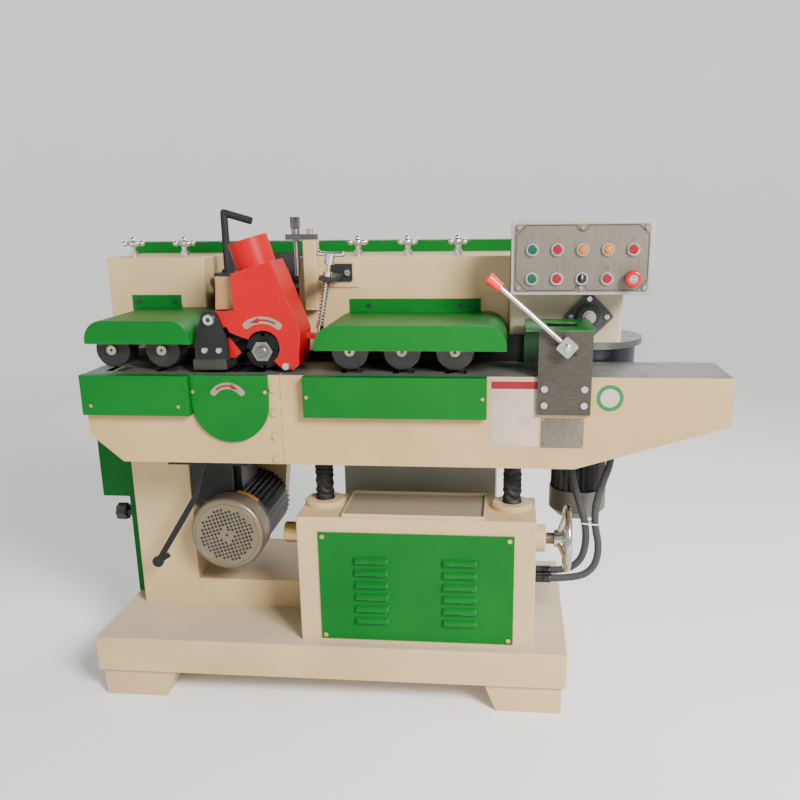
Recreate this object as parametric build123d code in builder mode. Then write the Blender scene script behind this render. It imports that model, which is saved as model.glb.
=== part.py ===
from build123d import *
import os
from math import cos, pi, radians, sin, sqrt, tan

# Round stick making machine: a floor machine that feeds a square stick from right to left
# between driven rollers, past a lower and an upper cutter.
# Lengths are in millimetres. Layout values count X from the middle of the work table,
# Y from the front of the base towards the back, and Z from the floor.

# Clearances
running_gap = 0.05
free_gap = 0.5
rub_gap = 0.3

# Work table and its bed
bed_length = 1600
bed_height = 230
bed_depth = 212
bed_front = 15
table_top = 914
bed_wall = 14
seam_from_left = 507
tip_height = 118
taper_length = 364
left_chamfer_width = 83
left_chamfer_height = 72
column_pad_size = 96
column_pad_drop = 8

# Base
base_overhang = 50
base_length = 1287
base_depth = 635
foot_height = 82
plinth_height = 98
sheet_wall = 8
foot_floor_width = 172
foot_top_width = 207
foot_depth = 140
foot_inset = 12
edge_radius = 4

# Rear frame
frame_front = 232
frame_depth = 328
left_column_width = 172
riser_height = 82
right_column_left = -200
right_column_width = 440
right_column_front = 330

# Lift cabinet
cabinet_left = -276
cabinet_width = 625
cabinet_front = 32
cabinet_depth = 199
cabinet_height = 356
panel_width = 513
panel_height = 306
panel_side_margin = 57
panel_top_margin = 40
panel_sheet = 3
louvre_width = 92
louvre_rise = 14
louvre_reach = 6
louvre_columns = 2
louvre_rows = 6
louvre_column_pitch = 233
louvre_row_pitch = 34.4
louvre_drop = 7
tray_width = 370
tray_depth = 190
tray_rim = 10
tray_sheet = 2.5
tray_shift = -6

# Lift columns, boots, cross shaft and handwheel
lift_column_radius = 19
lift_column_span = 506
lift_column_middle = 33
lift_column_y = 152
lift_column_engagement = 150
lift_flange_radius = 55
lift_flange_height = 14
boot_radius = 27
boot_fold = 5
boot_folds = 7
boot_wall = 2
cross_shaft_radius = 11
cross_shaft_y = 100
cross_shaft_drop = 68
shaft_bearing_radius = 36
shaft_bearing_length = 26
shaft_cap_radius = 28
shaft_cap_length = 46
wheel_radius = 80
wheel_rim_radius = 9
wheel_hub_radius = 22
wheel_hub_length = 24
wheel_dish = 9
wheel_nut_radius = 15
wheel_nut_length = 22
wheel_spokes = 3
wheel_spoke_radius = 7

# Front covers on the bed
cover_depth = 27
cover_height = 102
cover_sheet = 2
outfeed_cover_length = 279
infeed_cover_left = -231
infeed_cover_length = 451
spindle_cover_radius = 99
spindle_cover_middle = -421
spindle_cover_drop = 73
spindle_cover_thickness = 10

# Feed rollers
feed_axis_rise = 55
roller_front = 50
roller_width = 60
outfeed_roller_radius = 45
infeed_roller_radius = 47
roller_teeth = 48
tooth_depth = 2.5
roller_hub_radius = 13
roller_hub_reach = 6
roller_shaft_radius = 14
roller_shaft_reach = 110
outfeed_first = -731
outfeed_pitch = 131
outfeed_count = 2
infeed_first = -120
infeed_pitch = 130
infeed_count = 3
idler_radius = 25
idler_peep = 1
idler_shaft_radius = 8
idler_slot_gap = 2
shaft_end_gap = 2

# Gearboxes
gearbox_front = 297
gearbox_depth = 246
gearbox_drop = 8
gearbox_height = 276
gearbox_wall = 12
gearbox_round = 8
outfeed_gearbox_left = -836
outfeed_gearbox_length = 274
infeed_gearbox_left = -300
infeed_gearbox_length = 570

# Pressure knobs on the gearboxes
knob_y = 345
knob_stem_radius = 8
knob_hub_radius = 12
knob_height = 54
knob_ball_radius = 9
knob_arm_radius = 4.5
knob_arm_ball_radius = 7.5
knob_arm_reach = 25
knob_arms = 4
knob_foot_height = 14
outfeed_knob_first = -776
outfeed_knob_pitch = 147
infeed_knob_first = -142
infeed_knob_pitch = 136

# Roller guards
guard_front = 5
guard_sheet = 3
guard_upstand_height = 34
guard_upstand_hole = 5
outfeed_guard_left = -782
outfeed_guard_length = 270
outfeed_guard_rise = 76
outfeed_guard_height = 58
outfeed_guard_round = 50
outfeed_upstand_left = -772
outfeed_upstand_length = 140
outfeed_upstand_inset = 18
infeed_guard_left = -202
infeed_guard_length = 468
infeed_guard_rise = 62
infeed_guard_height = 61
infeed_guard_round = 54
infeed_upstand_left = -161
infeed_upstand_length = 355
infeed_upstand_inset = 53

# Rear cover and side belt guard
rear_cover_left = -868
rear_cover_length = 1168
rear_cover_depth = 57
rear_cover_rise = 32
side_guard_front = 310
side_guard_depth = 250
side_guard_reach = 132
side_guard_height = 313
side_door_reach = 51
side_door_height = 306
side_knob_height = 248
side_knob_y = 338
side_knob_radius = 26
side_knob_reach = 52
side_knob_depth = 30
side_knob_tips = 7
side_knob_dent = 4

# Feed drive at the right rear
drive_x = 475
drive_y = 380
housing_length = 292
housing_front = 250
housing_depth = 250
housing_rise = 48
housing_height = 124
drive_ring_radius = 157
drive_ring_thickness = 16
reducer_radius = 140
reducer_height = 196
feed_motor_radius = 77
feed_motor_fins = 28
feed_fin_depth = 8
feed_fins_height = 222
feed_cowl_radius = 81
feed_cowl_height = 84
feed_cowl_chamfer = 22
terminal_width = 74
terminal_depth = 44
terminal_height = 80
entry_width = 46
entry_depth = 80
bearing_radius = 30
bearing_flange = 92
bearing_thickness = 12
bearing_reach = 26
bearing_bolt_spread = 46
bearing_bolt_radius = 7
bearing_rise = 68

# Control box
control_left = 272
control_width = 336
control_front = 100
control_depth = 100
control_height = 176
control_rise = 185
control_round = 6
control_plate_margin = 9
control_plate_sheet = 3
control_arm_width = 80
control_arm_height = 30
button_columns = 5
button_pitch = 59.5
button_row_pitch = 68
button_first_margin = 51
button_row_margin = 40
bezel_radius = 15
bezel_height = 7
button_radius = 11
button_reach = 11
button_travel = 4
selector_bar_width = 7
mushroom_radius = 20
mushroom_height = 14
mushroom_reach = 30
plate_screw_radius = 3.5
plate_screw_inset = 9

# Lower cutter, its motor and belt case
lower_spindle_x = -418
lower_spindle_drop = 69
lower_cutter_radius = 68
lower_shaft_radius = 20
cutter_front = 60
cutter_width = 90
cutter_knives = 4
knife_width = 10
knife_depth = 8
cutter_nut_radius = 24
cutter_nut_height = 14
pocket_gap = 9
pocket_back_gap = 15
spindle_tube_radius = 45
spindle_tube_length = 73
lower_motor_x = -505
lower_motor_z = 433
lower_motor_radius = 98
lower_motor_fins = 40
lower_fin_depth = 9
lower_cowl_front = 150
lower_cowl_radius = 105
lower_cowl_length = 65
lower_cowl_round = 12
lower_motor_length = 269
hanger_left = -618
hanger_width = 213
hanger_plate = 20
hanger_front = 60
hanger_back = 420
hanger_web = 40
hanger_web_front = 260
motor_plate_front = 218
motor_plate_thickness = 14
motor_plate_width = 118
motor_plate_height = 154
belt_case_low_radius = 80
belt_case_high_radius = 45
belt_case_depth = 56
belt_case_sheet = 3
tension_bar_width = 16
tension_bar_thickness = 8
tension_bar_front = 138
tension_bar_end_x = -709
tension_bar_end_z = 350
tension_bar_bend_x = -579
tension_bar_bend_z = 552
tension_bar_top_x = -540
tension_hook_radius = 14
tension_hook_x = -675
tension_hook_z = 372

# Upper head, its slideway and adjusters
upper_spindle_x = -341
upper_spindle_rise = 53
upper_cutter_radius = 44
upper_shaft_radius = 18
upper_shaft_back = 470
upper_nut_radius = 27
upper_nut_height = 16
carriage_left = -540
carriage_width = 234
carriage_front = 300
carriage_rise = 16
carriage_height = 170
spindle_nose_radius = 38
spindle_nose_length = 110
head_travel = 10
shelf_gap = 10
slideway_depth = 43
shoe_left = -515
shoe_length = 86
shoe_rise = 9
shoe_height = 26
shoe_front = 30
shoe_depth = 90
shoe_bar_width = 70
shoe_bar_height = 30
bracket_width = 85
bracket_thickness = 10
bracket_front = 28
pivot_x = -465
pivot_rise = 134
pivot_pin_radius = 8
pivot_head_radius = 13
pivot_head_height = 8
bracket_round = 22
bracket_shoulder = 50
crank_x = -509
crank_y = 340
crank_radius = 10
crank_top = 1298
crank_arm_length = 76
crank_arm_fall = 22
shelf_width = 66
shelf_thickness = 18
shelf_lip = 22
collar_radius = 16
collar_height = 9
post_left = -276
post_width = 36
post_depth = 42
post_height = 183
post_rise = 46
clamp_bar_length = 82
clamp_bar_thickness = 14
adjuster_x = -297
adjuster_radius = 7
adjuster_cap_radius = 13
adjuster_cap_height = 30
adjuster_neck_height = 14
adjuster_length = 122
adjuster_knurls = 40
knurl_depth = 1
upper_motor_x = -296
upper_motor_z = 700
upper_motor_radius = 74
upper_motor_front = 330
upper_motor_length = 240
upper_motor_foot = 40
upper_motor_foot_length = 140
upper_motor_fins = 32

# Cutter hood
hood_front = 40
hood_depth = 125
hood_sheet = 3
hood_lug_radius = 20
cutter_window_x = -336
cutter_window_rise = 64
cutter_window_radius = 42
port_radius = 50
port_length = 68
port_wall = 3
port_lean = 16.7
port_x = -357
port_rise = 258
port_y = 98
hood_swing_room = 56
hood_points = [
    (-407, 243),
    (-307, 273),
    (-294, 243),
    (-272, 183),
    (-246, 112),
    (-242, 97),
    (-250, 18),
    (-262, 9),
    (-290, 9),
    (-316, 36),
    (-362, 80),
    (-419, 100),
    (-443, 148),
    (-404, 154),
    (-407, 180),
]
spring_lug_reach = 28
spring_lug_right = 8
spring_lug_width = 30
spring_lug_thickness = 12

# Pressure spring and its rod
rod_radius = 5
rod_y = 140
rod_low_x = -216
rod_low_rise = 83
rod_lean = 10.7
rod_length = 206
rod_end_gap = 1.5
rod_collar_radius = 10
rod_collar_height = 8
rod_hole_radius = 7.5
spring_seat = 24
spring_radius = 7.6
spring_wire_radius = 1.4
spring_turns = 14
spring_length = 112
spring_end_rise = 2.4
arm_width = 34
arm_thickness = 12
arm_plate_length = 56
arm_plate_height = 44
arm_plate_thickness = 12
wing_length = 66
wing_radius = 4.5
wing_hub_radius = 13
wing_hub_height = 26
rod_nut_radius = 11
rod_nut_height = 11

# Infeed guide and lever
guide_left = 341
guide_width = 127
guide_thickness = 12
guide_height = 201
guide_rise = 110
guide_roof_left = 310
guide_roof_length = 163
guide_roof_depth = 194
guide_sheet = 4
guide_window_length = 90
guide_window_depth = 80
guide_screw_radius = 8
guide_screw_height = 4
lever_x = 406
lever_rise = 77
lever_block = 38
lever_block_depth = 32
lever_shaft_radius = 9
lever_shaft_reach = 105
lever_cam_radius = 20
lever_cam_width = 22
lever_rod_radius = 6.5
lever_angle = 139
lever_rod_length = 206
lever_grip_length = 40
lever_grip_radius = 11
lever_grip_tip_radius = 14

# Fasteners
bolt_head_radius = 9
bolt_head_height = 6
screw_head_radius = 6
screw_head_height = 3
seam_bolt_inset = 17
seam_bolt_count = 4
seam_bolt_pitch = 60
seam_bolt_low = 14
cover_screw_radius = 4.5
infeed_screw_inset = 10
infeed_screw_drop = 50
outfeed_screw_inset = 26
outfeed_screw_drop = 77
spindle_screw_inset = 7
spindle_screw_drop = 42

# Conduits between the cabinet and the feed drive, with hand-picked route points
conduit_radius = 10.5
gland_radius = 13
gland_length = 23
conduit_route_a = [
    (372, 218, 326),
    (436, 218, 326),
    (480, 216, 358),
    (492, 213, 415),
    (487, 212, 472),
    (468, 232, 532),
    (447, 270, 594),
    (447, 270, 658),
]
conduit_route_b = [
    (372, 190, 315),
    (466, 190, 315),
    (516, 192, 348),
    (526, 198, 410),
    (511, 207, 470),
    (515, 228, 526),
    (534, 252, 578),
    (556, 272, 632),
    (556, 272, 692),
]

# Levels and places worked out from the sizes above
bed_left = -bed_length / 2
bed_right = bed_length / 2
bed_back = bed_front + bed_depth
bed_bottom = table_top - bed_height
bed_seam = bed_left + seam_from_left
base_left = bed_left - base_overhang
base_right = base_left + base_length
plinth_top = foot_height + plinth_height
frame_back = frame_front + frame_depth
cabinet_right = cabinet_left + cabinet_width
cabinet_back = cabinet_front + cabinet_depth
cabinet_top = plinth_top + cabinet_height
feed_axis = table_top + feed_axis_rise
gearbox_bottom = table_top - gearbox_drop
gearbox_top = gearbox_bottom + gearbox_height
gearbox_back = gearbox_front + gearbox_depth
outfeed_gearbox_right = outfeed_gearbox_left + outfeed_gearbox_length
infeed_gearbox_right = infeed_gearbox_left + infeed_gearbox_length
idler_axis = table_top + idler_peep - idler_radius
lift_columns = [lift_column_middle - lift_column_span / 2, lift_column_middle + lift_column_span / 2]
flange_top = cabinet_top + lift_flange_height
pad_bottom = bed_bottom - column_pad_drop
cross_shaft_z = cabinet_top - cross_shaft_drop
outfeed_rollers = [outfeed_first + outfeed_pitch * i for i in range(outfeed_count)]
infeed_rollers = [infeed_first + infeed_pitch * i for i in range(infeed_count)]
lower_spindle_z = table_top - lower_spindle_drop
upper_spindle_z = table_top + upper_spindle_rise
slideway_front = gearbox_back - slideway_depth
carriage_bottom = table_top + carriage_rise
carriage_top = carriage_bottom + carriage_height
shelf_bottom = carriage_top + head_travel + shelf_gap
pivot_z = table_top + pivot_rise
housing_bottom = table_top + housing_rise
housing_top = housing_bottom + housing_height
ring_bottom = housing_bottom - drive_ring_thickness
reducer_bottom = ring_bottom - reducer_height
feed_fins_bottom = reducer_bottom - feed_fins_height
control_bottom = table_top + control_rise
control_top = control_bottom + control_height
control_face = control_front - control_plate_sheet
lower_cowl_back = lower_cowl_front + lower_cowl_length
lower_motor_back = lower_cowl_back + lower_motor_length
rod_low_z = table_top + rod_low_rise
lever_z = table_top + lever_rise
guide_front = bed_front - guide_thickness
guide_top = table_top + guide_rise
lever_block_back = guide_front - rub_gap
lever_block_front = lever_block_back - lever_block_depth
side_guard_left = bed_left - side_guard_reach
mid_x = (side_guard_left + bed_right) / 2
mid_y = (lever_block_front + base_depth) / 2


# Helpers that place plain shapes in the layout's own coordinates
def facing(y):
    return Plane(origin=(-mid_x, y - mid_y, 0), x_dir=(1, 0, 0), z_dir=(0, -1, 0))


def level(z):
    return Plane(origin=(-mid_x, -mid_y, z), x_dir=(1, 0, 0), z_dir=(0, 0, 1))


def sideways(x):
    return Plane(origin=(x - mid_x, -mid_y, 0), x_dir=(0, 1, 0), z_dir=(1, 0, 0))


def spot(x, y, z):
    return Vector(x - mid_x, y - mid_y, z)


def span(start, length):
    return (start, start + length)


def around(middle, length):
    return (middle - length / 2, middle + length / 2)


def shrink(pair, wall):
    return (pair[0] + wall, pair[1] - wall)


def block(x, y, z, mode=Mode.ADD):
    centre = spot(sum(x) / 2, sum(y) / 2, sum(z) / 2)
    with Locations(centre):
        Box(x[1] - x[0], y[1] - y[0], z[1] - z[0], mode=mode)


def cavity(x, y, z, wall):
    block(shrink(x, wall), shrink(y, wall), shrink(z, wall), mode=Mode.SUBTRACT)


def round_y(x, z, y, radius, mode=Mode.ADD):
    with BuildSketch(facing(y[1])) as disc:
        with Locations((x, z)):
            Circle(radius)
    extrude(disc.sketch, amount=y[1] - y[0], mode=mode)


def round_x(y, z, x, radius, mode=Mode.ADD):
    with BuildSketch(sideways(x[0])) as disc:
        with Locations((y, z)):
            Circle(radius)
    extrude(disc.sketch, amount=x[1] - x[0], mode=mode)


def round_z(x, y, z, radius, mode=Mode.ADD):
    with BuildSketch(level(z[0])) as disc:
        with Locations((x, y)):
            Circle(radius)
    extrude(disc.sketch, amount=z[1] - z[0], mode=mode)


def hex_y(x, z, y, radius):
    with BuildSketch(facing(y[1])) as nut:
        with Locations((x, z)):
            RegularPolygon(radius, 6)
    extrude(nut.sketch, amount=y[1] - y[0])


def slab(points, y, inset=0, corner=0, mode=Mode.ADD):
    with BuildSketch(facing(y[1])) as face:
        with BuildLine():
            Polyline(*points, close=True)
        make_face()
        if corner:
            fillet(face.vertices(), corner)
        if inset:
            offset(amount=-inset, mode=Mode.REPLACE)
    extrude(face.sketch, amount=y[1] - y[0], mode=mode)


def star_points(tips, outer, inner):
    points = []
    for i in range(2 * tips):
        radius = outer if i % 2 else inner
        turn = pi * i / tips
        points.append((radius * cos(turn), radius * sin(turn)))
    return points


def finned(plane, x, y, tips, outer, depth, length):
    with BuildSketch(plane) as star:
        with BuildLine():
            Polyline(*[(x + u, y + v) for u, v in star_points(tips, outer, outer - depth)], close=True)
        make_face()
    extrude(star.sketch, amount=length)


def between(start, end, radius, tip_radius=None):
    axis = end - start
    plane = Plane(origin=start, z_dir=axis)
    with BuildSketch(plane) as foot:
        Circle(radius)
    if tip_radius is None:
        extrude(foot.sketch, amount=axis.length)
    else:
        with BuildSketch(plane.offset(axis.length)) as tip:
            Circle(tip_radius)
        loft([foot.sketch, tip.sketch])


def save(name, *pieces):
    shape = pieces[0].part if len(pieces) == 1 else Compound(children=[piece.part for piece in pieces])
    shape.label = name
    export_step(shape, f"parts/{name}.step")


os.makedirs("parts", exist_ok=True)

# Base: a closed plinth on four tapered feet
base_x = (base_left, base_right)
base_y = (0, base_depth)
base_z = (foot_height, plinth_top)
with BuildPart() as plinth:
    block(base_x, base_y, base_z)
    fillet(plinth.edges().filter_by(Axis.Z), edge_radius)
    fillet(plinth.faces().sort_by(Axis.Z)[-1].edges(), edge_radius)
    cavity(base_x, base_y, base_z, sheet_wall)

feet = []
for outer, inward in ((base_left + foot_inset, 1), (base_right - foot_inset, -1)):
    for front in (foot_inset, base_depth - foot_inset - foot_depth):
        with BuildPart() as foot:
            slab(
                [
                    (outer, 0),
                    (outer + inward * foot_floor_width, 0),
                    (outer + inward * foot_top_width, foot_height),
                    (outer, foot_height),
                ],
                span(front, foot_depth),
            )
        feet.append(foot)
save("base_plinth", plinth, *feet)

# Rear frame: left column, low riser and right column standing on the plinth
left_column_x = span(bed_left, left_column_width)
frame_y = (frame_front, frame_back)
column_z = (plinth_top, gearbox_bottom)
with BuildPart() as left_column:
    block(left_column_x, frame_y, column_z)
    fillet(left_column.edges().filter_by(Axis.Z), edge_radius)
    cavity(left_column_x, frame_y, column_z, sheet_wall)

riser_x = (left_column_x[1], right_column_left)
riser_z = span(plinth_top, riser_height)
with BuildPart() as riser:
    block(riser_x, frame_y, riser_z)
    cavity(riser_x, frame_y, riser_z, sheet_wall)

right_column_x = span(right_column_left, right_column_width)
right_column_y = (right_column_front, frame_back)
with BuildPart() as right_column:
    block(right_column_x, right_column_y, column_z)
    fillet(right_column.edges().filter_by(Axis.Z), edge_radius)
    cavity(right_column_x, right_column_y, column_z, sheet_wall)
save("rear_frame", left_column, riser, right_column)

# Lift cabinet with its tool tray, column flanges and cross-shaft bearings
cabinet_x = (cabinet_left, cabinet_right)
cabinet_y = (cabinet_front, cabinet_back)
cabinet_z = (plinth_top, cabinet_top)
with BuildPart() as cabinet:
    block(cabinet_x, cabinet_y, cabinet_z)
    fillet(cabinet.edges().filter_by(Axis.Z), edge_radius)
    fillet(cabinet.faces().sort_by(Axis.Z)[-1].edges(), edge_radius)
    cavity(cabinet_x, cabinet_y, cabinet_z, sheet_wall)
    roof_z = (cabinet_top - sheet_wall, cabinet_top)
    for x in lift_columns:
        round_z(x, lift_column_y, roof_z, lift_column_radius + free_gap, mode=Mode.SUBTRACT)
    round_x(cross_shaft_y, cross_shaft_z, cabinet_x, cross_shaft_radius + running_gap, mode=Mode.SUBTRACT)

tray_x = around((cabinet_left + cabinet_right) / 2 + tray_shift, tray_width)
tray_y = around((cabinet_front + cabinet_back) / 2, tray_depth)
tray_z = span(cabinet_top, tray_rim)
with BuildPart() as tray:
    block(tray_x, tray_y, tray_z)
    block(
        shrink(tray_x, tray_sheet),
        shrink(tray_y, tray_sheet),
        (cabinet_top + tray_sheet, cabinet_top + tray_rim),
        mode=Mode.SUBTRACT,
    )

column_flanges = []
for x in lift_columns:
    with BuildPart() as flange:
        round_z(x, lift_column_y, (cabinet_top, flange_top), lift_flange_radius)
        chamfer(flange.faces().sort_by(Axis.Z)[-1].edges(), edge_radius)
        flange_bore = lift_column_radius + running_gap
        round_z(x, lift_column_y, (cabinet_top, flange_top), flange_bore, mode=Mode.SUBTRACT)
    column_flanges.append(flange)

bearing_x = span(cabinet_right, shaft_bearing_length)
with BuildPart() as shaft_bearing:
    round_x(cross_shaft_y, cross_shaft_z, bearing_x, shaft_bearing_radius)
    chamfer(shaft_bearing.faces().sort_by(Axis.X)[-1].edges(), edge_radius)
    round_x(cross_shaft_y, cross_shaft_z, bearing_x, cross_shaft_radius + running_gap, mode=Mode.SUBTRACT)

cap_x = (cabinet_left - shaft_cap_length, cabinet_left)
with BuildPart() as shaft_cap:
    round_x(cross_shaft_y, cross_shaft_z, cap_x, shaft_cap_radius)
    fillet(shaft_cap.faces().sort_by(Axis.X)[0].edges(), edge_radius)
    round_x(
        cross_shaft_y,
        cross_shaft_z,
        (cabinet_left - shaft_cap_length / 2, cabinet_left),
        cross_shaft_radius + running_gap,
        mode=Mode.SUBTRACT,
    )
save("lift_cabinet", cabinet, tray, *column_flanges, shaft_bearing, shaft_cap)

# Louvred panel on the cabinet front
panel_left = cabinet_left + panel_side_margin
panel_top = cabinet_top - panel_top_margin
panel_middle = panel_left + panel_width / 2
panel_face = cabinet_front - panel_sheet
louvre_middle_z = panel_top - panel_height / 2 - louvre_drop
with BuildPart() as louvre_panel:
    block(span(panel_left, panel_width), (panel_face, cabinet_front), (panel_top - panel_height, panel_top))
    for column in range(louvre_columns):
        for row in range(louvre_rows):
            x = panel_middle + (column - (louvre_columns - 1) / 2) * louvre_column_pitch
            z = louvre_middle_z + (row - (louvre_rows - 1) / 2) * louvre_row_pitch
            with BuildSketch(sideways(x - louvre_width / 2)) as hump:
                with BuildLine():
                    Polyline(
                        (panel_face, z + louvre_rise / 2),
                        (panel_face - louvre_reach, z - louvre_rise / 2),
                        (panel_face, z - louvre_rise / 2),
                        close=True,
                    )
                make_face()
            extrude(hump.sketch, amount=louvre_width)
save("louvre_panel", louvre_panel)


# Gearboxes that carry and drive the upper feed rollers
def gearbox(left, length, rollers, knobs):
    x = span(left, length)
    y = (gearbox_front, gearbox_back)
    z = (gearbox_bottom, gearbox_top)
    with BuildPart() as box:
        block(x, y, z)
        fillet(box.edges().filter_by(Axis.Z), edge_radius)
        fillet(box.faces().sort_by(Axis.Z)[-1].edges(), gearbox_round / 2)
        cavity(x, y, z, gearbox_wall)
        for roller in rollers:
            bore = roller_shaft_radius + running_gap
            round_y(roller, feed_axis, span(gearbox_front, gearbox_wall), bore, mode=Mode.SUBTRACT)
        for knob in knobs:
            bore = knob_stem_radius + running_gap
            round_z(knob, knob_y, (gearbox_top - gearbox_wall, gearbox_top), bore, mode=Mode.SUBTRACT)
    return box


outfeed_knobs = [outfeed_knob_first + outfeed_knob_pitch * i for i in range(outfeed_count)]
infeed_knobs = [infeed_knob_first + infeed_knob_pitch * i for i in range(infeed_count)]
save("outfeed_gearbox", gearbox(outfeed_gearbox_left, outfeed_gearbox_length, outfeed_rollers, outfeed_knobs))
save("infeed_gearbox", gearbox(infeed_gearbox_left, infeed_gearbox_length, infeed_rollers, infeed_knobs))


# Bent-sheet guards over the upper feed rollers, screwed to the gearboxes by an upstand
def roller_guard(left, length, rise, height, end_round, upstand_x, inset):
    low = table_top + rise
    top = low + height
    curve = min(end_round, height - 2 * guard_sheet)
    upstand_z = (top - curve / 2, top + guard_upstand_height)
    with BuildPart() as guard:
        with BuildSketch(facing(gearbox_front)) as profile:
            with Locations((left + length / 2, low + height / 2)):
                Rectangle(length, height)
            fillet(profile.vertices().group_by(Axis.Y)[-1], curve)
        extrude(profile.sketch, amount=gearbox_front - guard_front)
        with BuildSketch(facing(gearbox_front)) as room:
            add(profile.sketch_local)
            offset(amount=-guard_sheet, mode=Mode.REPLACE)
            with Locations((left + length / 2, low)):
                Rectangle(length - 2 * guard_sheet, 1.5 * (height - curve))
        extrude(room.sketch, amount=gearbox_front - guard_front - guard_sheet, mode=Mode.SUBTRACT)
        block(upstand_x, (gearbox_front - guard_sheet, gearbox_front), upstand_z)
        for end in shrink(upstand_x, inset):
            round_y(
                end,
                top + guard_upstand_height / 2,
                (gearbox_front - guard_sheet, gearbox_front),
                guard_upstand_hole,
                mode=Mode.SUBTRACT,
            )
    return guard


outfeed_upstand = span(outfeed_upstand_left, outfeed_upstand_length)
infeed_upstand = span(infeed_upstand_left, infeed_upstand_length)
save(
    "outfeed_roller_guard",
    roller_guard(
        outfeed_guard_left,
        outfeed_guard_length,
        outfeed_guard_rise,
        outfeed_guard_height,
        outfeed_guard_round,
        outfeed_upstand,
        outfeed_upstand_inset,
    ),
)
save(
    "infeed_roller_guard",
    roller_guard(
        infeed_guard_left,
        infeed_guard_length,
        infeed_guard_rise,
        infeed_guard_height,
        infeed_guard_round,
        infeed_upstand,
        infeed_upstand_inset,
    ),
)

# Rear cover over the drive chains, open towards the gearboxes
rear_cover_x = span(rear_cover_left, rear_cover_length)
rear_cover_y = span(gearbox_back, rear_cover_depth)
rear_cover_z = (gearbox_bottom, gearbox_top + rear_cover_rise)
with BuildPart() as rear_cover:
    block(rear_cover_x, rear_cover_y, rear_cover_z)
    fillet(rear_cover.edges().filter_by(Axis.Y), edge_radius)
    block(
        shrink(rear_cover_x, guard_sheet),
        (gearbox_back, rear_cover_y[1] - guard_sheet),
        shrink(rear_cover_z, guard_sheet),
        mode=Mode.SUBTRACT,
    )
save("rear_cover", rear_cover)

# Side guard on the left column: a deep upper case over a shallow door with a star knob
side_y = span(side_guard_front, side_guard_depth)
side_door_x = (bed_left - side_door_reach, bed_left)
side_door_z = span(plinth_top, side_door_height)
side_case_x = (side_guard_left, bed_left)
side_case_z = span(side_door_z[1], side_guard_height)
with BuildPart() as side_door:
    block(side_door_x, side_y, side_door_z)
    cavity(side_door_x, side_y, side_door_z, guard_sheet)
with BuildPart() as side_case:
    block(side_case_x, side_y, side_case_z)
    fillet(side_case.edges().filter_by(Axis.Y).sort_by(Axis.X)[:2], edge_radius)
    cavity(side_case_x, side_y, side_case_z, guard_sheet)
save("side_belt_guard", side_door, side_case)

# Feed drive: chain housing, then a reducer and an upright motor hung under it
housing_x = span(infeed_gearbox_right, housing_length)
housing_y = span(housing_front, housing_depth)
housing_z = (housing_bottom, housing_top)
with BuildPart() as drive_housing:
    block(housing_x, housing_y, housing_z)
    fillet(drive_housing.edges().filter_by(Axis.Z), gearbox_round)
    fillet(drive_housing.faces().sort_by(Axis.Z)[-1].edges(), gearbox_round / 2)
    cavity(housing_x, housing_y, housing_z, gearbox_wall)
save("drive_housing", drive_housing)

with BuildPart() as reducer:
    round_z(drive_x, drive_y, (ring_bottom, housing_bottom), drive_ring_radius)
    round_z(drive_x, drive_y, (reducer_bottom, ring_bottom), reducer_radius)
    fillet(reducer.faces().sort_by(Axis.Z)[0].edges(), gearbox_round)
    cavity_z = (reducer_bottom + gearbox_wall, ring_bottom)
    round_z(drive_x, drive_y, cavity_z, reducer_radius - gearbox_wall, mode=Mode.SUBTRACT)
with BuildPart() as feed_motor:
    finned(level(feed_fins_bottom), drive_x, drive_y, feed_motor_fins, feed_motor_radius, feed_fin_depth,
           feed_fins_height)
    terminal_y = (conduit_route_a[-1][1] - terminal_depth / 2, drive_y - feed_motor_radius / 2)
    terminal_x = around(conduit_route_a[-1][0], terminal_width)
    block(terminal_x, terminal_y, span(conduit_route_a[-1][2], terminal_height))
with BuildPart() as feed_cowl:
    round_z(drive_x, drive_y, (feed_fins_bottom - feed_cowl_height, feed_fins_bottom), feed_cowl_radius)
    chamfer(feed_cowl.faces().sort_by(Axis.Z)[0].edges(), feed_cowl_chamfer)
with BuildPart() as entry_box:
    entry_y = span(conduit_route_b[-1][1] - entry_width / 2, entry_depth)
    block(around(conduit_route_b[-1][0], entry_width), entry_y, (conduit_route_b[-1][2], reducer_bottom))
save("feed_gearmotor", reducer, feed_motor, feed_cowl, entry_box)


# Control box on an arm over the drive housing
control_x = span(control_left, control_width)
control_y = span(control_front, control_depth)
control_z = (control_bottom, control_top)
buttons = []
for row in range(2):
    for column in range(button_columns):
        button_x = control_left + button_first_margin + button_pitch * column
        button_z = control_bottom + button_row_margin + button_row_pitch * row
        buttons.append((button_x, button_z))
button_hole = button_radius + rub_gap
with BuildPart() as control_box:
    block(control_x, control_y, control_z)
    fillet(control_box.edges().filter_by(Axis.Y), control_round)
    fillet(control_box.faces().sort_by(Axis.Y)[0].edges(), control_round / 2)
    cavity(control_x, control_y, control_z, control_plate_sheet)
    for x, z in buttons:
        round_y(x, z, span(control_front, control_plate_sheet), button_hole, mode=Mode.SUBTRACT)
    arm_x = around(control_left + control_width / 2, control_arm_width)
    block(arm_x, (control_y[1], housing_front + control_arm_width), span(control_bottom, control_arm_height))
    block(arm_x, span(housing_front, control_arm_width), (housing_top, control_bottom + control_arm_height))
plate_x = shrink(control_x, control_plate_margin)
plate_z = shrink(control_z, control_plate_margin)
with BuildPart() as control_plate:
    block(plate_x, (control_face, control_front), plate_z)
    fillet(control_plate.edges().filter_by(Axis.Y), control_round)
    for x, z in buttons:
        round_y(x, z, (control_face, control_front), button_hole, mode=Mode.SUBTRACT)
save("control_box", control_box, control_plate)

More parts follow.
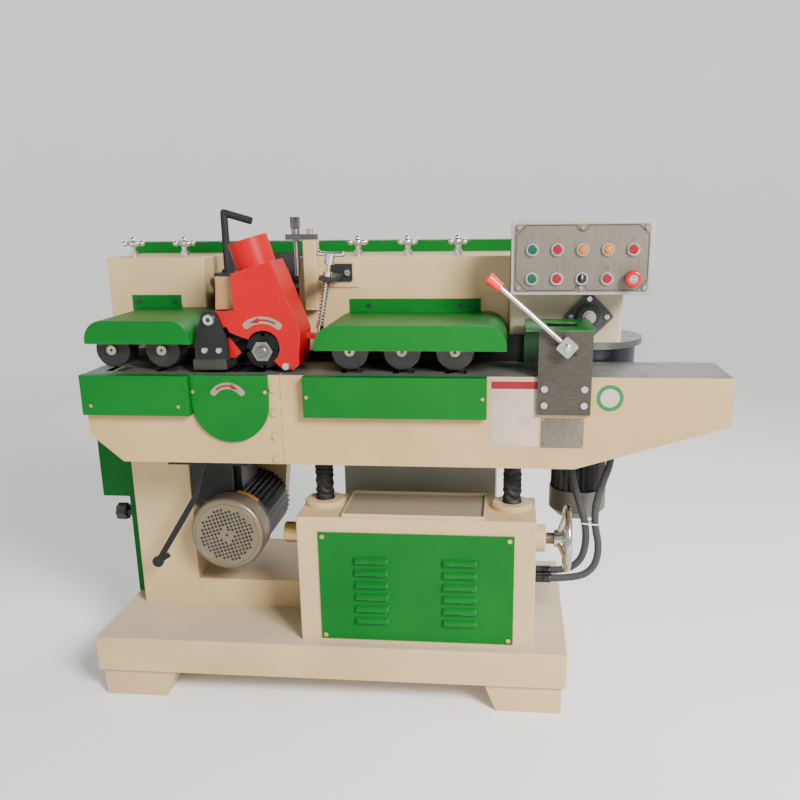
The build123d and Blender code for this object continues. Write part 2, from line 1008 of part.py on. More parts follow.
# Push buttons, selector and emergency stop, each in its own bezel
lamp_spots = (button_columns + 2, button_columns + 3)
button_inner = control_front + 2 * control_plate_sheet + button_travel
button_names = {
    0: "lower_start_button",
    1: "lower_stop_button",
    3: "feed_stop_button",
    5: "upper_start_button",
    6: "upper_stop_button",
    9: "power_button",
}
for index, name in button_names.items():
    with BuildPart() as button:
        round_y(*buttons[index], (control_face - button_reach, button_inner), button_radius)
        fillet(button.faces().sort_by(Axis.Y)[0].edges(), control_plate_sheet / 2)
    save(name, button)

selector_spot = buttons[2]
with BuildPart() as selector:
    round_y(*selector_spot, (control_face - bezel_height - rub_gap, button_inner), button_radius)
    block(
        around(selector_spot[0], selector_bar_width),
        (control_face - button_reach - bezel_height, control_face - bezel_height),
        around(selector_spot[1], 2 * button_radius - control_plate_sheet),
    )
save("selector_switch", selector)

stop_spot = buttons[4]
with BuildPart() as emergency_stop:
    round_y(*stop_spot, (control_face - mushroom_reach, button_inner), button_radius)
    round_y(*stop_spot, span(control_face - mushroom_reach, mushroom_height), mushroom_radius)
    fillet(emergency_stop.faces().sort_by(Axis.Y)[0].edges(), control_round)
save("emergency_stop", emergency_stop)

# Slideway between the gearboxes, crank shelf, adjuster post and its clamp bar
post_x = span(post_left, post_width)
post_y = (gearbox_front - post_depth, gearbox_front)
post_top = gearbox_top + post_rise
shelf_top = shelf_bottom + shelf_thickness
with BuildPart() as slideway:
    slideway_x = (outfeed_gearbox_right, infeed_gearbox_left)
    block(slideway_x, (slideway_front, gearbox_back), (gearbox_bottom, gearbox_top))
    block(around(crank_x, shelf_width), (crank_y - shelf_lip, slideway_front), (shelf_bottom, shelf_top))
    round_z(crank_x, crank_y, (shelf_bottom, shelf_top), crank_radius + running_gap, mode=Mode.SUBTRACT)
with BuildPart() as post:
    block(post_x, post_y, (post_top - post_height, post_top))
    fillet(post.edges().filter_by(Axis.Z).group_by(Axis.Y)[0], edge_radius)
adjuster_y = sum(post_y) / 2
clamp_top = post_top + clamp_bar_thickness
with BuildPart() as clamp_bar:
    block((post_x[1] - clamp_bar_length, post_x[1]), shrink(post_y, edge_radius), (post_top, clamp_top))
    fillet(clamp_bar.edges().filter_by(Axis.Z), edge_radius)
    round_z(adjuster_x, adjuster_y, (post_top, clamp_top), adjuster_radius + running_gap, mode=Mode.SUBTRACT)
save("head_guide", slideway, post, clamp_bar)

# Pressure spring and rod: the rod leans right and bears on a lug of the hood
lean = radians(rod_lean)


def along_rod(distance, side=0):
    x = rod_low_x + distance * sin(lean) + side * cos(lean)
    z = rod_low_z + distance * cos(lean) - side * sin(lean)
    return (x, z)


def rod_point(distance):
    x, z = along_rod(distance)
    return spot(x, rod_y, z)


def across_rod(low, high, left, right):
    return [along_rod(low, left), along_rod(low, right), along_rod(high, right), along_rod(high, left)]


spring_top = spring_seat + spring_length
arm_low = spring_top + rub_gap
arm_high = arm_low + arm_thickness
bracket_x, bracket_z = along_rod(arm_low)
bracket_plate_x = span(bracket_x - arm_width / 2, arm_plate_length)
bracket_plate_z = span(bracket_z - arm_thickness, arm_plate_height)
with BuildPart() as spring_bracket:
    slab(
        across_rod(arm_low, arm_high, -arm_width / 2, arm_width / 2),
        (rod_y - arm_width / 2, gearbox_front - arm_plate_thickness),
    )
    block(bracket_plate_x, (gearbox_front - arm_plate_thickness, gearbox_front), bracket_plate_z)
    rod_way = rod_point(arm_high) - rod_point(arm_low)
    with BuildSketch(Plane(origin=rod_point(arm_low), z_dir=rod_way)) as hole:
        Circle(rod_hole_radius)
    extrude(hole.sketch, amount=arm_thickness, both=True, mode=Mode.SUBTRACT)
save("spring_bracket", spring_bracket)

with BuildPart() as tension_rod:
    between(rod_point(0), rod_point(rod_length), rod_radius)
    collar_top = spring_seat - rub_gap
    between(rod_point(collar_top - rod_collar_height), rod_point(collar_top), rod_collar_radius)
    between(rod_point(arm_high + rub_gap), rod_point(arm_high + rub_gap + rod_nut_height), rod_nut_radius)
    between(rod_point(rod_length - wing_hub_height), rod_point(rod_length), wing_hub_radius)
    wing_x, wing_z = along_rod(rod_length)
    wing_start = spot(wing_x - wing_length / 2, rod_y, wing_z)
    wing_end = spot(wing_x + wing_length / 2, rod_y, wing_z - wing_radius)
    between(wing_start, wing_end, wing_radius)
save("tension_rod", tension_rod)


def coil_point(turns):
    axis = (rod_point(spring_top) - rod_point(spring_seat)).normalized()
    across = Vector(cos(lean), 0, -sin(lean))
    depth = axis.cross(across)
    angle = 2 * pi * turns
    rise = spring_end_rise + (spring_length - 2 * spring_end_rise) * turns / spring_turns
    return (
        rod_point(spring_seat)
        + axis * rise
        + across * (spring_radius * cos(angle))
        + depth * (spring_radius * sin(angle))
    )


def coil_tangent(turns):
    step = 1e-4
    return (coil_point(turns + step) - coil_point(turns - step)).normalized()


def biarc_knee(start, start_way, end, end_way):
    chord = end - start
    ways = start_way + end_way
    spread = 2 * (1 - start_way.dot(end_way))
    reach = (-chord.dot(ways) + sqrt(chord.dot(ways) ** 2 + spread * chord.dot(chord))) / spread
    return (start + end + (start_way - end_way) * reach) * 0.5


quarter = 0.25
with BuildPart() as pressure_spring:
    with BuildLine() as coil:
        first = coil_point(0)
        Line(first - coil_tangent(0) * (2 * spring_wire_radius), first)
        for i in range(int(spring_turns / quarter)):
            start, end = coil_point(i * quarter), coil_point((i + 1) * quarter)
            start_way, end_way = coil_tangent(i * quarter), coil_tangent((i + 1) * quarter)
            knee = biarc_knee(start, start_way, end, end_way)
            bend = TangentArc(start, knee, tangent=start_way)
            TangentArc(knee, end, tangent=bend % 1)
        last = coil_point(spring_turns)
        Line(last, last + coil_tangent(spring_turns) * (2 * spring_wire_radius))
    with BuildSketch(Plane(origin=coil.line @ 0, z_dir=coil.line % 0)):
        Circle(spring_wire_radius)
    sweep(path=coil.line)
coil_pitch = (spring_length - 2 * spring_end_rise) / spring_turns
near = min((coil_point(1 + i / 40) - coil_point(0)).length for i in range(-8, 9))
print("spring least gap", round(near - 2 * spring_wire_radius, 2), "pitch", round(coil_pitch, 2))
save("pressure_spring", pressure_spring)


# Conduits: straight runs joined by arcs as large as the runs allow
def bend_radii(points):
    radii = []
    for before, here, after in zip(points, points[1:], points[2:]):
        turn = radians((here - before).get_angle(after - here))
        run = min((here - before).length, (after - here).length)
        radii.append(0.45 * run / tan(turn / 2))
    return radii


def conduit(route):
    points = [spot(*point) for point in route]
    radii = bend_radii(points)
    print("conduit radii", [round(radius) for radius in radii])
    with BuildPart() as tube:
        with BuildLine() as path:
            FilletPolyline(*points, radius=radii)
        with BuildSketch(Plane(origin=path.line @ 0, z_dir=path.line % 0)) as section:
            Circle(conduit_radius)
        sweep(section.sketch, path=path.line)
    plain = pi * conduit_radius**2 * path.wire().length
    print("conduit volume against section times length", round(tube.part.volume / plain, 4))
    return tube


save("conduits", conduit(conduit_route_a), conduit(conduit_route_b))

# Upper cutter motor on the right column
with BuildPart() as upper_motor:
    upper_motor_y = span(upper_motor_front, upper_motor_length)
    finned(facing(upper_motor_y[1]), upper_motor_x, upper_motor_z, upper_motor_fins, upper_motor_radius,
           feed_fin_depth, upper_motor_length)
    block(
        (upper_motor_x, right_column_left),
        around(sum(upper_motor_y) / 2, upper_motor_foot_length),
        around(upper_motor_z, upper_motor_foot),
    )
save("upper_motor", upper_motor)

# Bed castings, left and right of the seam
bed_y = (bed_front, bed_back)
pocket_reach = lower_cutter_radius + pocket_gap
pocket_y = (cutter_front - pocket_gap, cutter_front + cutter_width + pocket_back_gap)


def idler_seats(rollers):
    for x in rollers:
        block(
            around(x, 2 * (idler_radius + idler_slot_gap)),
            (roller_front - idler_slot_gap, roller_front + roller_width + idler_slot_gap),
            (idler_axis, table_top),
            mode=Mode.SUBTRACT,
        )
        round_y(x, idler_axis, bed_y, idler_shaft_radius + running_gap, mode=Mode.SUBTRACT)


left_outline = [
    (bed_left, table_top),
    (bed_seam, table_top),
    (bed_seam, bed_bottom),
    (bed_left + left_chamfer_width, bed_bottom),
    (bed_left, bed_bottom + left_chamfer_height),
]
spindle_tube_y = span(bed_back, spindle_tube_length)
with BuildPart() as bed_outfeed:
    slab(left_outline, bed_y, corner=edge_radius)
    slab(left_outline, shrink(bed_y, bed_wall), inset=bed_wall, mode=Mode.SUBTRACT)
    pocket_z = (lower_spindle_z, table_top)
    block(around(lower_spindle_x, 2 * pocket_reach), pocket_y, pocket_z, mode=Mode.SUBTRACT)
    round_y(lower_spindle_x, lower_spindle_z, spindle_tube_y, spindle_tube_radius)
    spindle_bore_y = (bed_back - bed_wall, spindle_tube_y[1])
    spindle_bore = lower_shaft_radius + running_gap
    round_y(lower_spindle_x, lower_spindle_z, spindle_bore_y, spindle_bore, mode=Mode.SUBTRACT)
    idler_seats(outfeed_rollers)

right_outline = [
    (bed_seam, table_top),
    (bed_right, table_top),
    (bed_right, table_top - tip_height),
    (bed_right - taper_length, bed_bottom),
    (bed_seam, bed_bottom),
]
with BuildPart() as bed_infeed:
    slab(right_outline, bed_y, corner=edge_radius)
    slab(right_outline, shrink(bed_y, bed_wall), inset=bed_wall, mode=Mode.SUBTRACT)
    for x in lift_columns:
        pad_y = around(lift_column_y, column_pad_size)
        block(around(x, column_pad_size), pad_y, (pad_bottom, bed_bottom + edge_radius))
    idler_seats(infeed_rollers)
save("bed", bed_outfeed, bed_infeed)


# Green sheet covers on the bed front
def front_cover(left, length):
    x = span(left, length)
    y = (bed_front - cover_depth, bed_front)
    z = (table_top - cover_height, table_top)
    with BuildPart() as cover:
        block(x, y, z)
        fillet(cover.faces().sort_by(Axis.Y)[0].edges(), edge_radius / 2)
        block(
            shrink(x, cover_sheet),
            (y[0] + cover_sheet, bed_front),
            shrink(z, cover_sheet),
            mode=Mode.SUBTRACT,
        )
    return cover


save("outfeed_cover", front_cover(bed_left, outfeed_cover_length))
save("infeed_cover", front_cover(infeed_cover_left, infeed_cover_length))

cover_axis = table_top - spindle_cover_drop
with BuildPart() as spindle_cover:
    with BuildSketch(facing(bed_front)):
        with Locations((spindle_cover_middle, cover_axis)):
            Circle(spindle_cover_radius)
        with Locations((spindle_cover_middle, cover_axis + spindle_cover_drop)):
            Rectangle(2 * spindle_cover_radius, 2 * spindle_cover_drop)
        with Locations((spindle_cover_middle, table_top + spindle_cover_radius)):
            Rectangle(2 * spindle_cover_radius, 2 * spindle_cover_radius, mode=Mode.SUBTRACT)
    extrude(amount=spindle_cover_thickness)
    fillet(spindle_cover.faces().sort_by(Axis.Y)[0].edges(), edge_radius / 2)
save("spindle_cover", spindle_cover)

# Infeed guide: steel front plate and a green roof with a back wall
guide_x = span(guide_left, guide_width)
roof_x = span(guide_roof_left, guide_roof_length)
roof_y = (guide_front, bed_front + guide_roof_depth)
with BuildPart() as guide_plate:
    block(guide_x, (guide_front, bed_front), (guide_top - guide_height, guide_top))
    round_y(lever_x, lever_z, (guide_front, bed_front), lever_shaft_radius + running_gap, mode=Mode.SUBTRACT)
with BuildPart() as guide_roof:
    block(roof_x, roof_y, span(guide_top, guide_sheet))
    block(roof_x, (roof_y[1] - guide_sheet, roof_y[1]), (table_top, guide_top))
    block(
        around(sum(roof_x) / 2, guide_window_length),
        around(sum(roof_y) / 2, guide_window_depth),
        span(guide_top, guide_sheet),
        mode=Mode.SUBTRACT,
    )
save("infeed_guide", guide_plate, guide_roof)

# Lever that works the hold-down cam in the infeed guide
lever_turn = radians(lever_angle)
lever_y = (lever_block_front + lever_block_back) / 2


def along_lever(distance):
    return spot(lever_x + distance * cos(lever_turn), lever_y, lever_z + distance * sin(lever_turn))


with BuildPart() as lever_hub:
    with BuildSketch(facing(lever_block_back)):
        with Locations((lever_x, lever_z)):
            Rectangle(lever_block, lever_block, rotation=lever_angle)
    extrude(amount=lever_block_depth)
    fillet(lever_hub.edges().filter_by(Axis.Y), edge_radius)
    shaft_y = (lever_block_back, lever_block_back + lever_shaft_reach)
    round_y(lever_x, lever_z, shaft_y, lever_shaft_radius)
    round_y(lever_x, lever_z, (shaft_y[1] - lever_cam_width, shaft_y[1]), lever_cam_radius)
    between(along_lever(0), along_lever(lever_rod_length), lever_rod_radius)
with BuildPart() as lever_grip:
    grip_end = lever_rod_length + lever_grip_length
    between(along_lever(lever_rod_length), along_lever(grip_end), lever_grip_radius, lever_grip_tip_radius)
    fillet(lever_grip.edges(), edge_radius)
save("infeed_lever", lever_hub, lever_grip)

# Lower motor hung under the bed, with its fan cowl and the tension bar
hanger_x = span(hanger_left, hanger_width)
hanger_z = (bed_bottom - hanger_plate, bed_bottom)
with BuildPart() as lower_motor:
    finned(facing(lower_motor_back), lower_motor_x, lower_motor_z, lower_motor_fins, lower_motor_radius,
           lower_fin_depth, lower_motor_length)
    block(hanger_x, (hanger_front, hanger_back), hanger_z)
    block(around(lower_motor_x, hanger_web), (hanger_web_front, hanger_back), (lower_motor_z, bed_bottom))
    block(
        span(hanger_x[0], motor_plate_width),
        span(motor_plate_front, motor_plate_thickness),
        (hanger_z[0] - motor_plate_height, hanger_z[0]),
    )
    with BuildSketch(facing(tension_bar_front + tension_bar_thickness)) as bar:
        with BuildLine():
            Polyline(
                (tension_bar_end_x, tension_bar_end_z),
                (tension_bar_bend_x, tension_bar_bend_z),
                (tension_bar_top_x, hanger_z[1] - tension_bar_width / 2),
            )
        trace(line_width=tension_bar_width)
        with Locations((tension_bar_end_x, tension_bar_end_z)):
            Circle(tension_bar_width)
        with BuildLine():
            Line((tension_bar_end_x, tension_bar_end_z), (tension_hook_x, tension_hook_z))
        trace(line_width=tension_hook_radius)
    extrude(bar.sketch, amount=tension_bar_thickness)
with BuildPart() as lower_cowl:
    cowl_y = (lower_cowl_front, lower_cowl_back)
    round_y(lower_motor_x, lower_motor_z, cowl_y, lower_cowl_radius)
    fillet(lower_cowl.faces().sort_by(Axis.Y)[0].edges(), lower_cowl_round)
save("lower_motor", lower_motor, lower_cowl)

# Belt case between the lower motor and the lower spindle
belt_case_y = span(lower_motor_back, belt_case_depth)
with BuildPart() as belt_case:
    with BuildSketch(facing(belt_case_y[1])) as case_face:
        with Locations((lower_motor_x, lower_motor_z)):
            Circle(belt_case_low_radius)
        with Locations((lower_spindle_x, lower_spindle_z)):
            Circle(belt_case_high_radius)
        make_hull()
    extrude(case_face.sketch, amount=belt_case_depth)
    with BuildSketch(facing(belt_case_y[1] - belt_case_sheet)) as case_room:
        add(case_face.sketch_local)
        offset(amount=-belt_case_sheet, mode=Mode.REPLACE)
    extrude(case_room.sketch, amount=belt_case_depth - 2 * belt_case_sheet, mode=Mode.SUBTRACT)
    front_wall = span(belt_case_y[0], belt_case_sheet)
    round_y(lower_spindle_x, lower_spindle_z, front_wall, lower_shaft_radius + free_gap, mode=Mode.SUBTRACT)
save("belt_case", belt_case)


# Folded boots over the lift columns
def boot(x):
    low = flange_top + rub_gap
    high = pad_bottom
    points = []
    for i in range(2 * boot_folds + 1):
        points.append((boot_radius - boot_fold * (i % 2), low + (high - low) * i / (2 * boot_folds)))
    inner = [(radius - boot_wall, z) for radius, z in reversed(points)]
    origin = spot(x, lift_column_y, 0)
    with BuildPart() as sleeve:
        with BuildSketch(Plane(origin=origin, x_dir=(1, 0, 0), z_dir=(0, -1, 0))) as fold:
            with BuildLine():
                Polyline(*points, *inner, close=True)
            make_face()
        revolve(fold.sketch, axis=Axis(origin, (0, 0, 1)))
    return sleeve


save("column_boots", *[boot(x) for x in lift_columns])

# Lift columns and the bolts and screws of the table
guide_screws = [(x, z) for x in shrink(guide_x, 2 * guide_screw_radius)
                for z in (guide_top - guide_height + 3 * guide_screw_radius,
                          guide_top - guide_height + 8 * guide_screw_radius)]
with BuildPart() as table_hardware:
    for x in lift_columns:
        round_z(x, lift_column_y, (cabinet_top - lift_column_engagement, pad_bottom), lift_column_radius)
    for i in range(seam_bolt_count):
        z = bed_bottom + seam_bolt_low + seam_bolt_pitch * i
        hex_y(bed_seam - seam_bolt_inset, z, (bed_front - bolt_head_height, bed_front), bolt_head_radius)
    for x, z in guide_screws:
        round_y(x, z, (guide_front - guide_screw_height, guide_front), guide_screw_radius)
    cover_face = bed_front - cover_depth
    spindle_face = bed_front - spindle_cover_thickness
    outfeed_cover_x = span(bed_left, outfeed_cover_length)
    infeed_cover_x = span(infeed_cover_left, infeed_cover_length)
    spindle_cover_x = around(spindle_cover_middle, 2 * spindle_cover_radius)
    for cover_x, inset, drop, face in (
        (outfeed_cover_x, outfeed_screw_inset, outfeed_screw_drop, cover_face),
        (infeed_cover_x, infeed_screw_inset, infeed_screw_drop, cover_face),
        (spindle_cover_x, spindle_screw_inset, spindle_screw_drop, spindle_face),
    ):
        for x in shrink(cover_x, inset):
            round_y(x, table_top - drop, (face - screw_head_height, face), cover_screw_radius)
save("table_hardware", table_hardware)


# Cutter blocks with knife slots on their shafts
def cutter_spindle(x, z, radius, shaft_radius, nut_radius, nut_height, back):
    with BuildPart() as spindle:
        with BuildSketch(facing(cutter_front + cutter_width)) as head:
            with Locations((x, z)):
                Circle(radius)
                with PolarLocations(radius - knife_depth / 2, cutter_knives):
                    Rectangle(knife_depth, knife_width, mode=Mode.SUBTRACT)
        extrude(head.sketch, amount=cutter_width)
        round_y(x, z, (cutter_front - nut_height - shaft_end_gap, back), shaft_radius)
        hex_y(x, z, (cutter_front - nut_height, cutter_front), nut_radius)
    return spindle


lower_back = belt_case_y[1] - 5 * belt_case_sheet
save(
    "lower_spindle",
    cutter_spindle(
        lower_spindle_x, lower_spindle_z, lower_cutter_radius, lower_shaft_radius,
        cutter_nut_radius, cutter_nut_height, lower_back,
    ),
)
save(
    "upper_spindle",
    cutter_spindle(
        upper_spindle_x, upper_spindle_z, upper_cutter_radius, upper_shaft_radius,
        upper_nut_radius, upper_nut_height, upper_shaft_back,
    ),
)

# Idler rollers sunk in the table under each driven roller
for kind, rollers in (("outfeed", outfeed_rollers), ("infeed", infeed_rollers)):
    for number, x in enumerate(rollers, 1):
        with BuildPart() as idler:
            round_y(x, idler_axis, span(roller_front, roller_width), idler_radius)
            round_y(x, idler_axis, shrink(bed_y, shaft_end_gap), idler_shaft_radius)
        save(f"{kind}_idler_{number}", idler)

# Driven rollers: smooth tyres on the outfeed side, toothed steel on the infeed side
roller_y = span(roller_front, roller_width)
roller_shaft_y = (roller_front - roller_hub_reach, gearbox_front + roller_shaft_reach)
for number, x in enumerate(outfeed_rollers, 1):
    with BuildPart() as roller:
        round_y(x, feed_axis, roller_y, outfeed_roller_radius)
        fillet(roller.edges(), edge_radius)
        round_y(x, feed_axis, (roller_shaft_y[0], roller_front), roller_hub_radius)
        round_y(x, feed_axis, (roller_y[1], roller_shaft_y[1]), roller_shaft_radius)
    save(f"outfeed_roller_{number}", roller)
for number, x in enumerate(infeed_rollers, 1):
    with BuildPart() as roller:
        back = facing(roller_y[1])
        finned(back, x, feed_axis, roller_teeth, infeed_roller_radius, tooth_depth, roller_width)
        round_y(x, feed_axis, (roller_shaft_y[0], roller_front), roller_hub_radius)
        round_y(x, feed_axis, (roller_y[1], roller_shaft_y[1]), roller_shaft_radius)
    save(f"infeed_roller_{number}", roller)


# Star knobs that set the roller pressure
def pressure_knob(x):
    arm_z = gearbox_top + knob_height - 2 * knob_ball_radius
    with BuildPart() as knob:
        round_z(x, knob_y, (gearbox_top - 2 * gearbox_wall, arm_z), knob_stem_radius)
        round_z(x, knob_y, span(gearbox_top + rub_gap, knob_foot_height), knob_hub_radius)
        with Locations(spot(x, knob_y, arm_z)):
            Sphere(knob_hub_radius)
        with Locations(spot(x, knob_y, gearbox_top + knob_height - knob_ball_radius)):
            Sphere(knob_ball_radius)
        for i in range(knob_arms):
            turn = 2 * pi * (i + 0.5) / knob_arms
            tip = spot(x + knob_arm_reach * cos(turn), knob_y + knob_arm_reach * sin(turn), arm_z)
            between(spot(x, knob_y, arm_z), tip, knob_arm_radius)
            with Locations(tip):
                Sphere(knob_arm_ball_radius)
    return knob


for kind, knobs in (("outfeed", outfeed_knobs), ("infeed", infeed_knobs)):
    for number, x in enumerate(knobs, 1):
        save(f"{kind}_pressure_knob_{number}", pressure_knob(x))

# Upper head: carriage with the spindle nose, and the pressure shoe on its bar
carriage_x = span(carriage_left, carriage_width)
carriage_y = (carriage_front, slideway_front - rub_gap)
carriage_z = (carriage_bottom, carriage_top)
with BuildPart() as carriage:
    block(carriage_x, carriage_y, carriage_z)
    fillet(carriage.edges().filter_by(Axis.Z), edge_radius)
    cavity(carriage_x, carriage_y, carriage_z, bed_wall)
    nose_y = (carriage_front - spindle_nose_length, carriage_front + bed_wall)
    round_y(upper_spindle_x, upper_spindle_z, nose_y, spindle_nose_radius)
    bore_y = (nose_y[0], carriage_y[1])
    round_y(upper_spindle_x, upper_spindle_z, bore_y, upper_shaft_radius + running_gap, mode=Mode.SUBTRACT)

shoe_bottom = table_top + shoe_rise
shoe_top = shoe_bottom + shoe_height
shoulder_z = shoe_top + bracket_shoulder
bracket_y = span(bracket_front, bracket_thickness)
pivot_pin_y = (bracket_front - pivot_head_height, hood_front + hood_sheet + shaft_end_gap)
with BuildPart() as shoe:
    block(span(shoe_left, shoe_length), span(shoe_front, shoe_depth), (shoe_bottom, shoe_top))
    with BuildSketch(facing(bracket_y[1])) as tongue:
        with Locations((pivot_x, pivot_z)):
            Circle(bracket_round)
        with Locations((pivot_x, (shoe_top + shoulder_z) / 2)):
            Rectangle(bracket_width, shoulder_z - shoe_top)
        make_hull()
    extrude(tongue.sketch, amount=bracket_thickness)
    bar_x = around(pivot_x, shoe_bar_width)
    block(bar_x, (bracket_front, carriage_front), span(shoe_top, shoe_bar_height))
    round_y(pivot_x, pivot_z, (bracket_front - pivot_head_height, bracket_front), pivot_head_radius)
    round_y(pivot_x, pivot_z, pivot_pin_y, pivot_pin_radius)
save("upper_head", carriage, shoe)

# Crank that raises the head
crank_bottom = shelf_bottom - shaft_end_gap
with BuildPart() as crank:
    round_z(crank_x, crank_y, (crank_bottom, crank_top), crank_radius)
    round_z(crank_x, crank_y, span(shelf_top + rub_gap, collar_height), collar_radius)
    corner_spot = spot(crank_x, crank_y, crank_top)
    with Locations(corner_spot):
        Sphere(crank_radius)
    between(corner_spot, corner_spot + Vector(crank_arm_length, 0, -crank_arm_fall), crank_radius)
save("crank_handle", crank)

# Knurled adjusting screw in the clamp bar
neck_z = span(clamp_top + rub_gap, adjuster_neck_height)
with BuildPart() as adjuster:
    round_z(adjuster_x, adjuster_y, (neck_z[1] - adjuster_length, neck_z[1]), adjuster_radius)
    round_z(adjuster_x, adjuster_y, neck_z, adjuster_cap_radius - shaft_end_gap)
    cap_z = neck_z[1]
    finned(level(cap_z), adjuster_x, adjuster_y, adjuster_knurls, adjuster_cap_radius, knurl_depth,
           adjuster_cap_height)
save("adjusting_screw", adjuster)

# Cutter hood: a folded sheet shell with a dust port, hinged on the shoe bracket
hood_outline = [(x, table_top + rise) for x, rise in hood_points]
hood_y = span(hood_front, hood_depth)
window_z = table_top + cutter_window_rise
port_way = Vector(-sin(radians(port_lean)), 0, cos(radians(port_lean)))
port_foot = spot(port_x, port_y, table_top + port_rise)
port_plane = Plane(origin=port_foot, x_dir=(0, -1, 0), z_dir=port_way)


def hood_sheet_layer(y, lug, window, hollow):
    with BuildSketch(facing(y[1])) as layer:
        with BuildLine():
            Polyline(*hood_outline, close=True)
        make_face()
        if hollow:
            offset(amount=-hood_sheet, kind=Kind.INTERSECTION, mode=Mode.SUBTRACT)
            with Locations((upper_spindle_x, upper_spindle_z)):
                Circle(hood_swing_room, mode=Mode.SUBTRACT)
        if lug:
            with Locations((pivot_x, pivot_z)):
                Circle(hood_lug_radius)
            with Locations((pivot_x + lug_arm / 2, pivot_z)):
                Rectangle(lug_arm, 2 * hood_lug_radius)
            with Locations((pivot_x, pivot_z)):
                Circle(pivot_pin_radius + running_gap, mode=Mode.SUBTRACT)
        if window:
            with Locations((cutter_window_x, window_z)):
                Circle(cutter_window_radius, mode=Mode.SUBTRACT)
    extrude(layer.sketch, amount=y[1] - y[0])


lug_arm = 3 * hood_lug_radius
front_sheet_y = span(hood_front, hood_sheet)
back_sheet_y = (hood_y[1] - hood_sheet, hood_y[1])
with BuildPart() as hood:
    hood_sheet_layer(front_sheet_y, lug=True, window=True, hollow=False)
    hood_sheet_layer((front_sheet_y[1], back_sheet_y[0]), lug=False, window=False, hollow=True)
    hood_sheet_layer(back_sheet_y, lug=False, window=True, hollow=False)
    with BuildSketch(port_plane.offset(-hood_sheet * 2)) as port_bore:
        Circle(port_radius - port_wall)
    extrude(port_bore.sketch, amount=hood_sheet * 3, mode=Mode.SUBTRACT)
with BuildPart() as dust_port:
    with BuildSketch(port_plane) as port:
        Circle(port_radius)
        Circle(port_radius - port_wall, mode=Mode.SUBTRACT)
    extrude(port.sketch, amount=port_length)


def hood_wall_x(z):
    (upper_x, upper_z), (lower_x, lower_z) = hood_outline[5:7]
    return lower_x + (upper_x - lower_x) * (z - lower_z) / (upper_z - lower_z)


lug_low = -rod_end_gap - spring_lug_thickness
lug_high = -rod_end_gap
lug_left_low = along_rod(lug_low, -spring_lug_reach)[1]
lug_left_high = along_rod(lug_high, -spring_lug_reach)[1]
with BuildPart() as spring_lug:
    slab(
        [
            along_rod(lug_low, spring_lug_right),
            along_rod(lug_high, spring_lug_right),
            (hood_wall_x(lug_left_high), lug_left_high),
            (hood_wall_x(lug_left_low), lug_left_low),
        ],
        around(rod_y, spring_lug_width),
    )
save("cutter_hood", hood, dust_port, spring_lug)

# Handwheel on the cross shaft
wheel_nut_x = span(bearing_x[1] + rub_gap, wheel_nut_length)
hub_x = span(wheel_nut_x[1], wheel_hub_length)
rim_x = hub_x[1] + wheel_dish
with BuildPart() as handwheel:
    round_x(cross_shaft_y, cross_shaft_z, (cabinet_left - shaft_cap_length / 2 + shaft_end_gap, hub_x[1]),
            cross_shaft_radius)
    round_x(cross_shaft_y, cross_shaft_z, wheel_nut_x, wheel_nut_radius)
    round_x(cross_shaft_y, cross_shaft_z, hub_x, wheel_hub_radius)
    rim_centre = spot(rim_x, cross_shaft_y, cross_shaft_z)
    with Locations(Location(rim_centre, (0, 90, 0))):
        Torus(wheel_radius, wheel_rim_radius)
    hub_centre = spot(hub_x[0] + wheel_spoke_radius, cross_shaft_y, cross_shaft_z)
    for i in range(wheel_spokes):
        turn = 2 * pi * i / wheel_spokes
        between(hub_centre, rim_centre + Vector(0, wheel_radius * sin(turn), wheel_radius * cos(turn)),
                wheel_spoke_radius)
save("handwheel", handwheel)

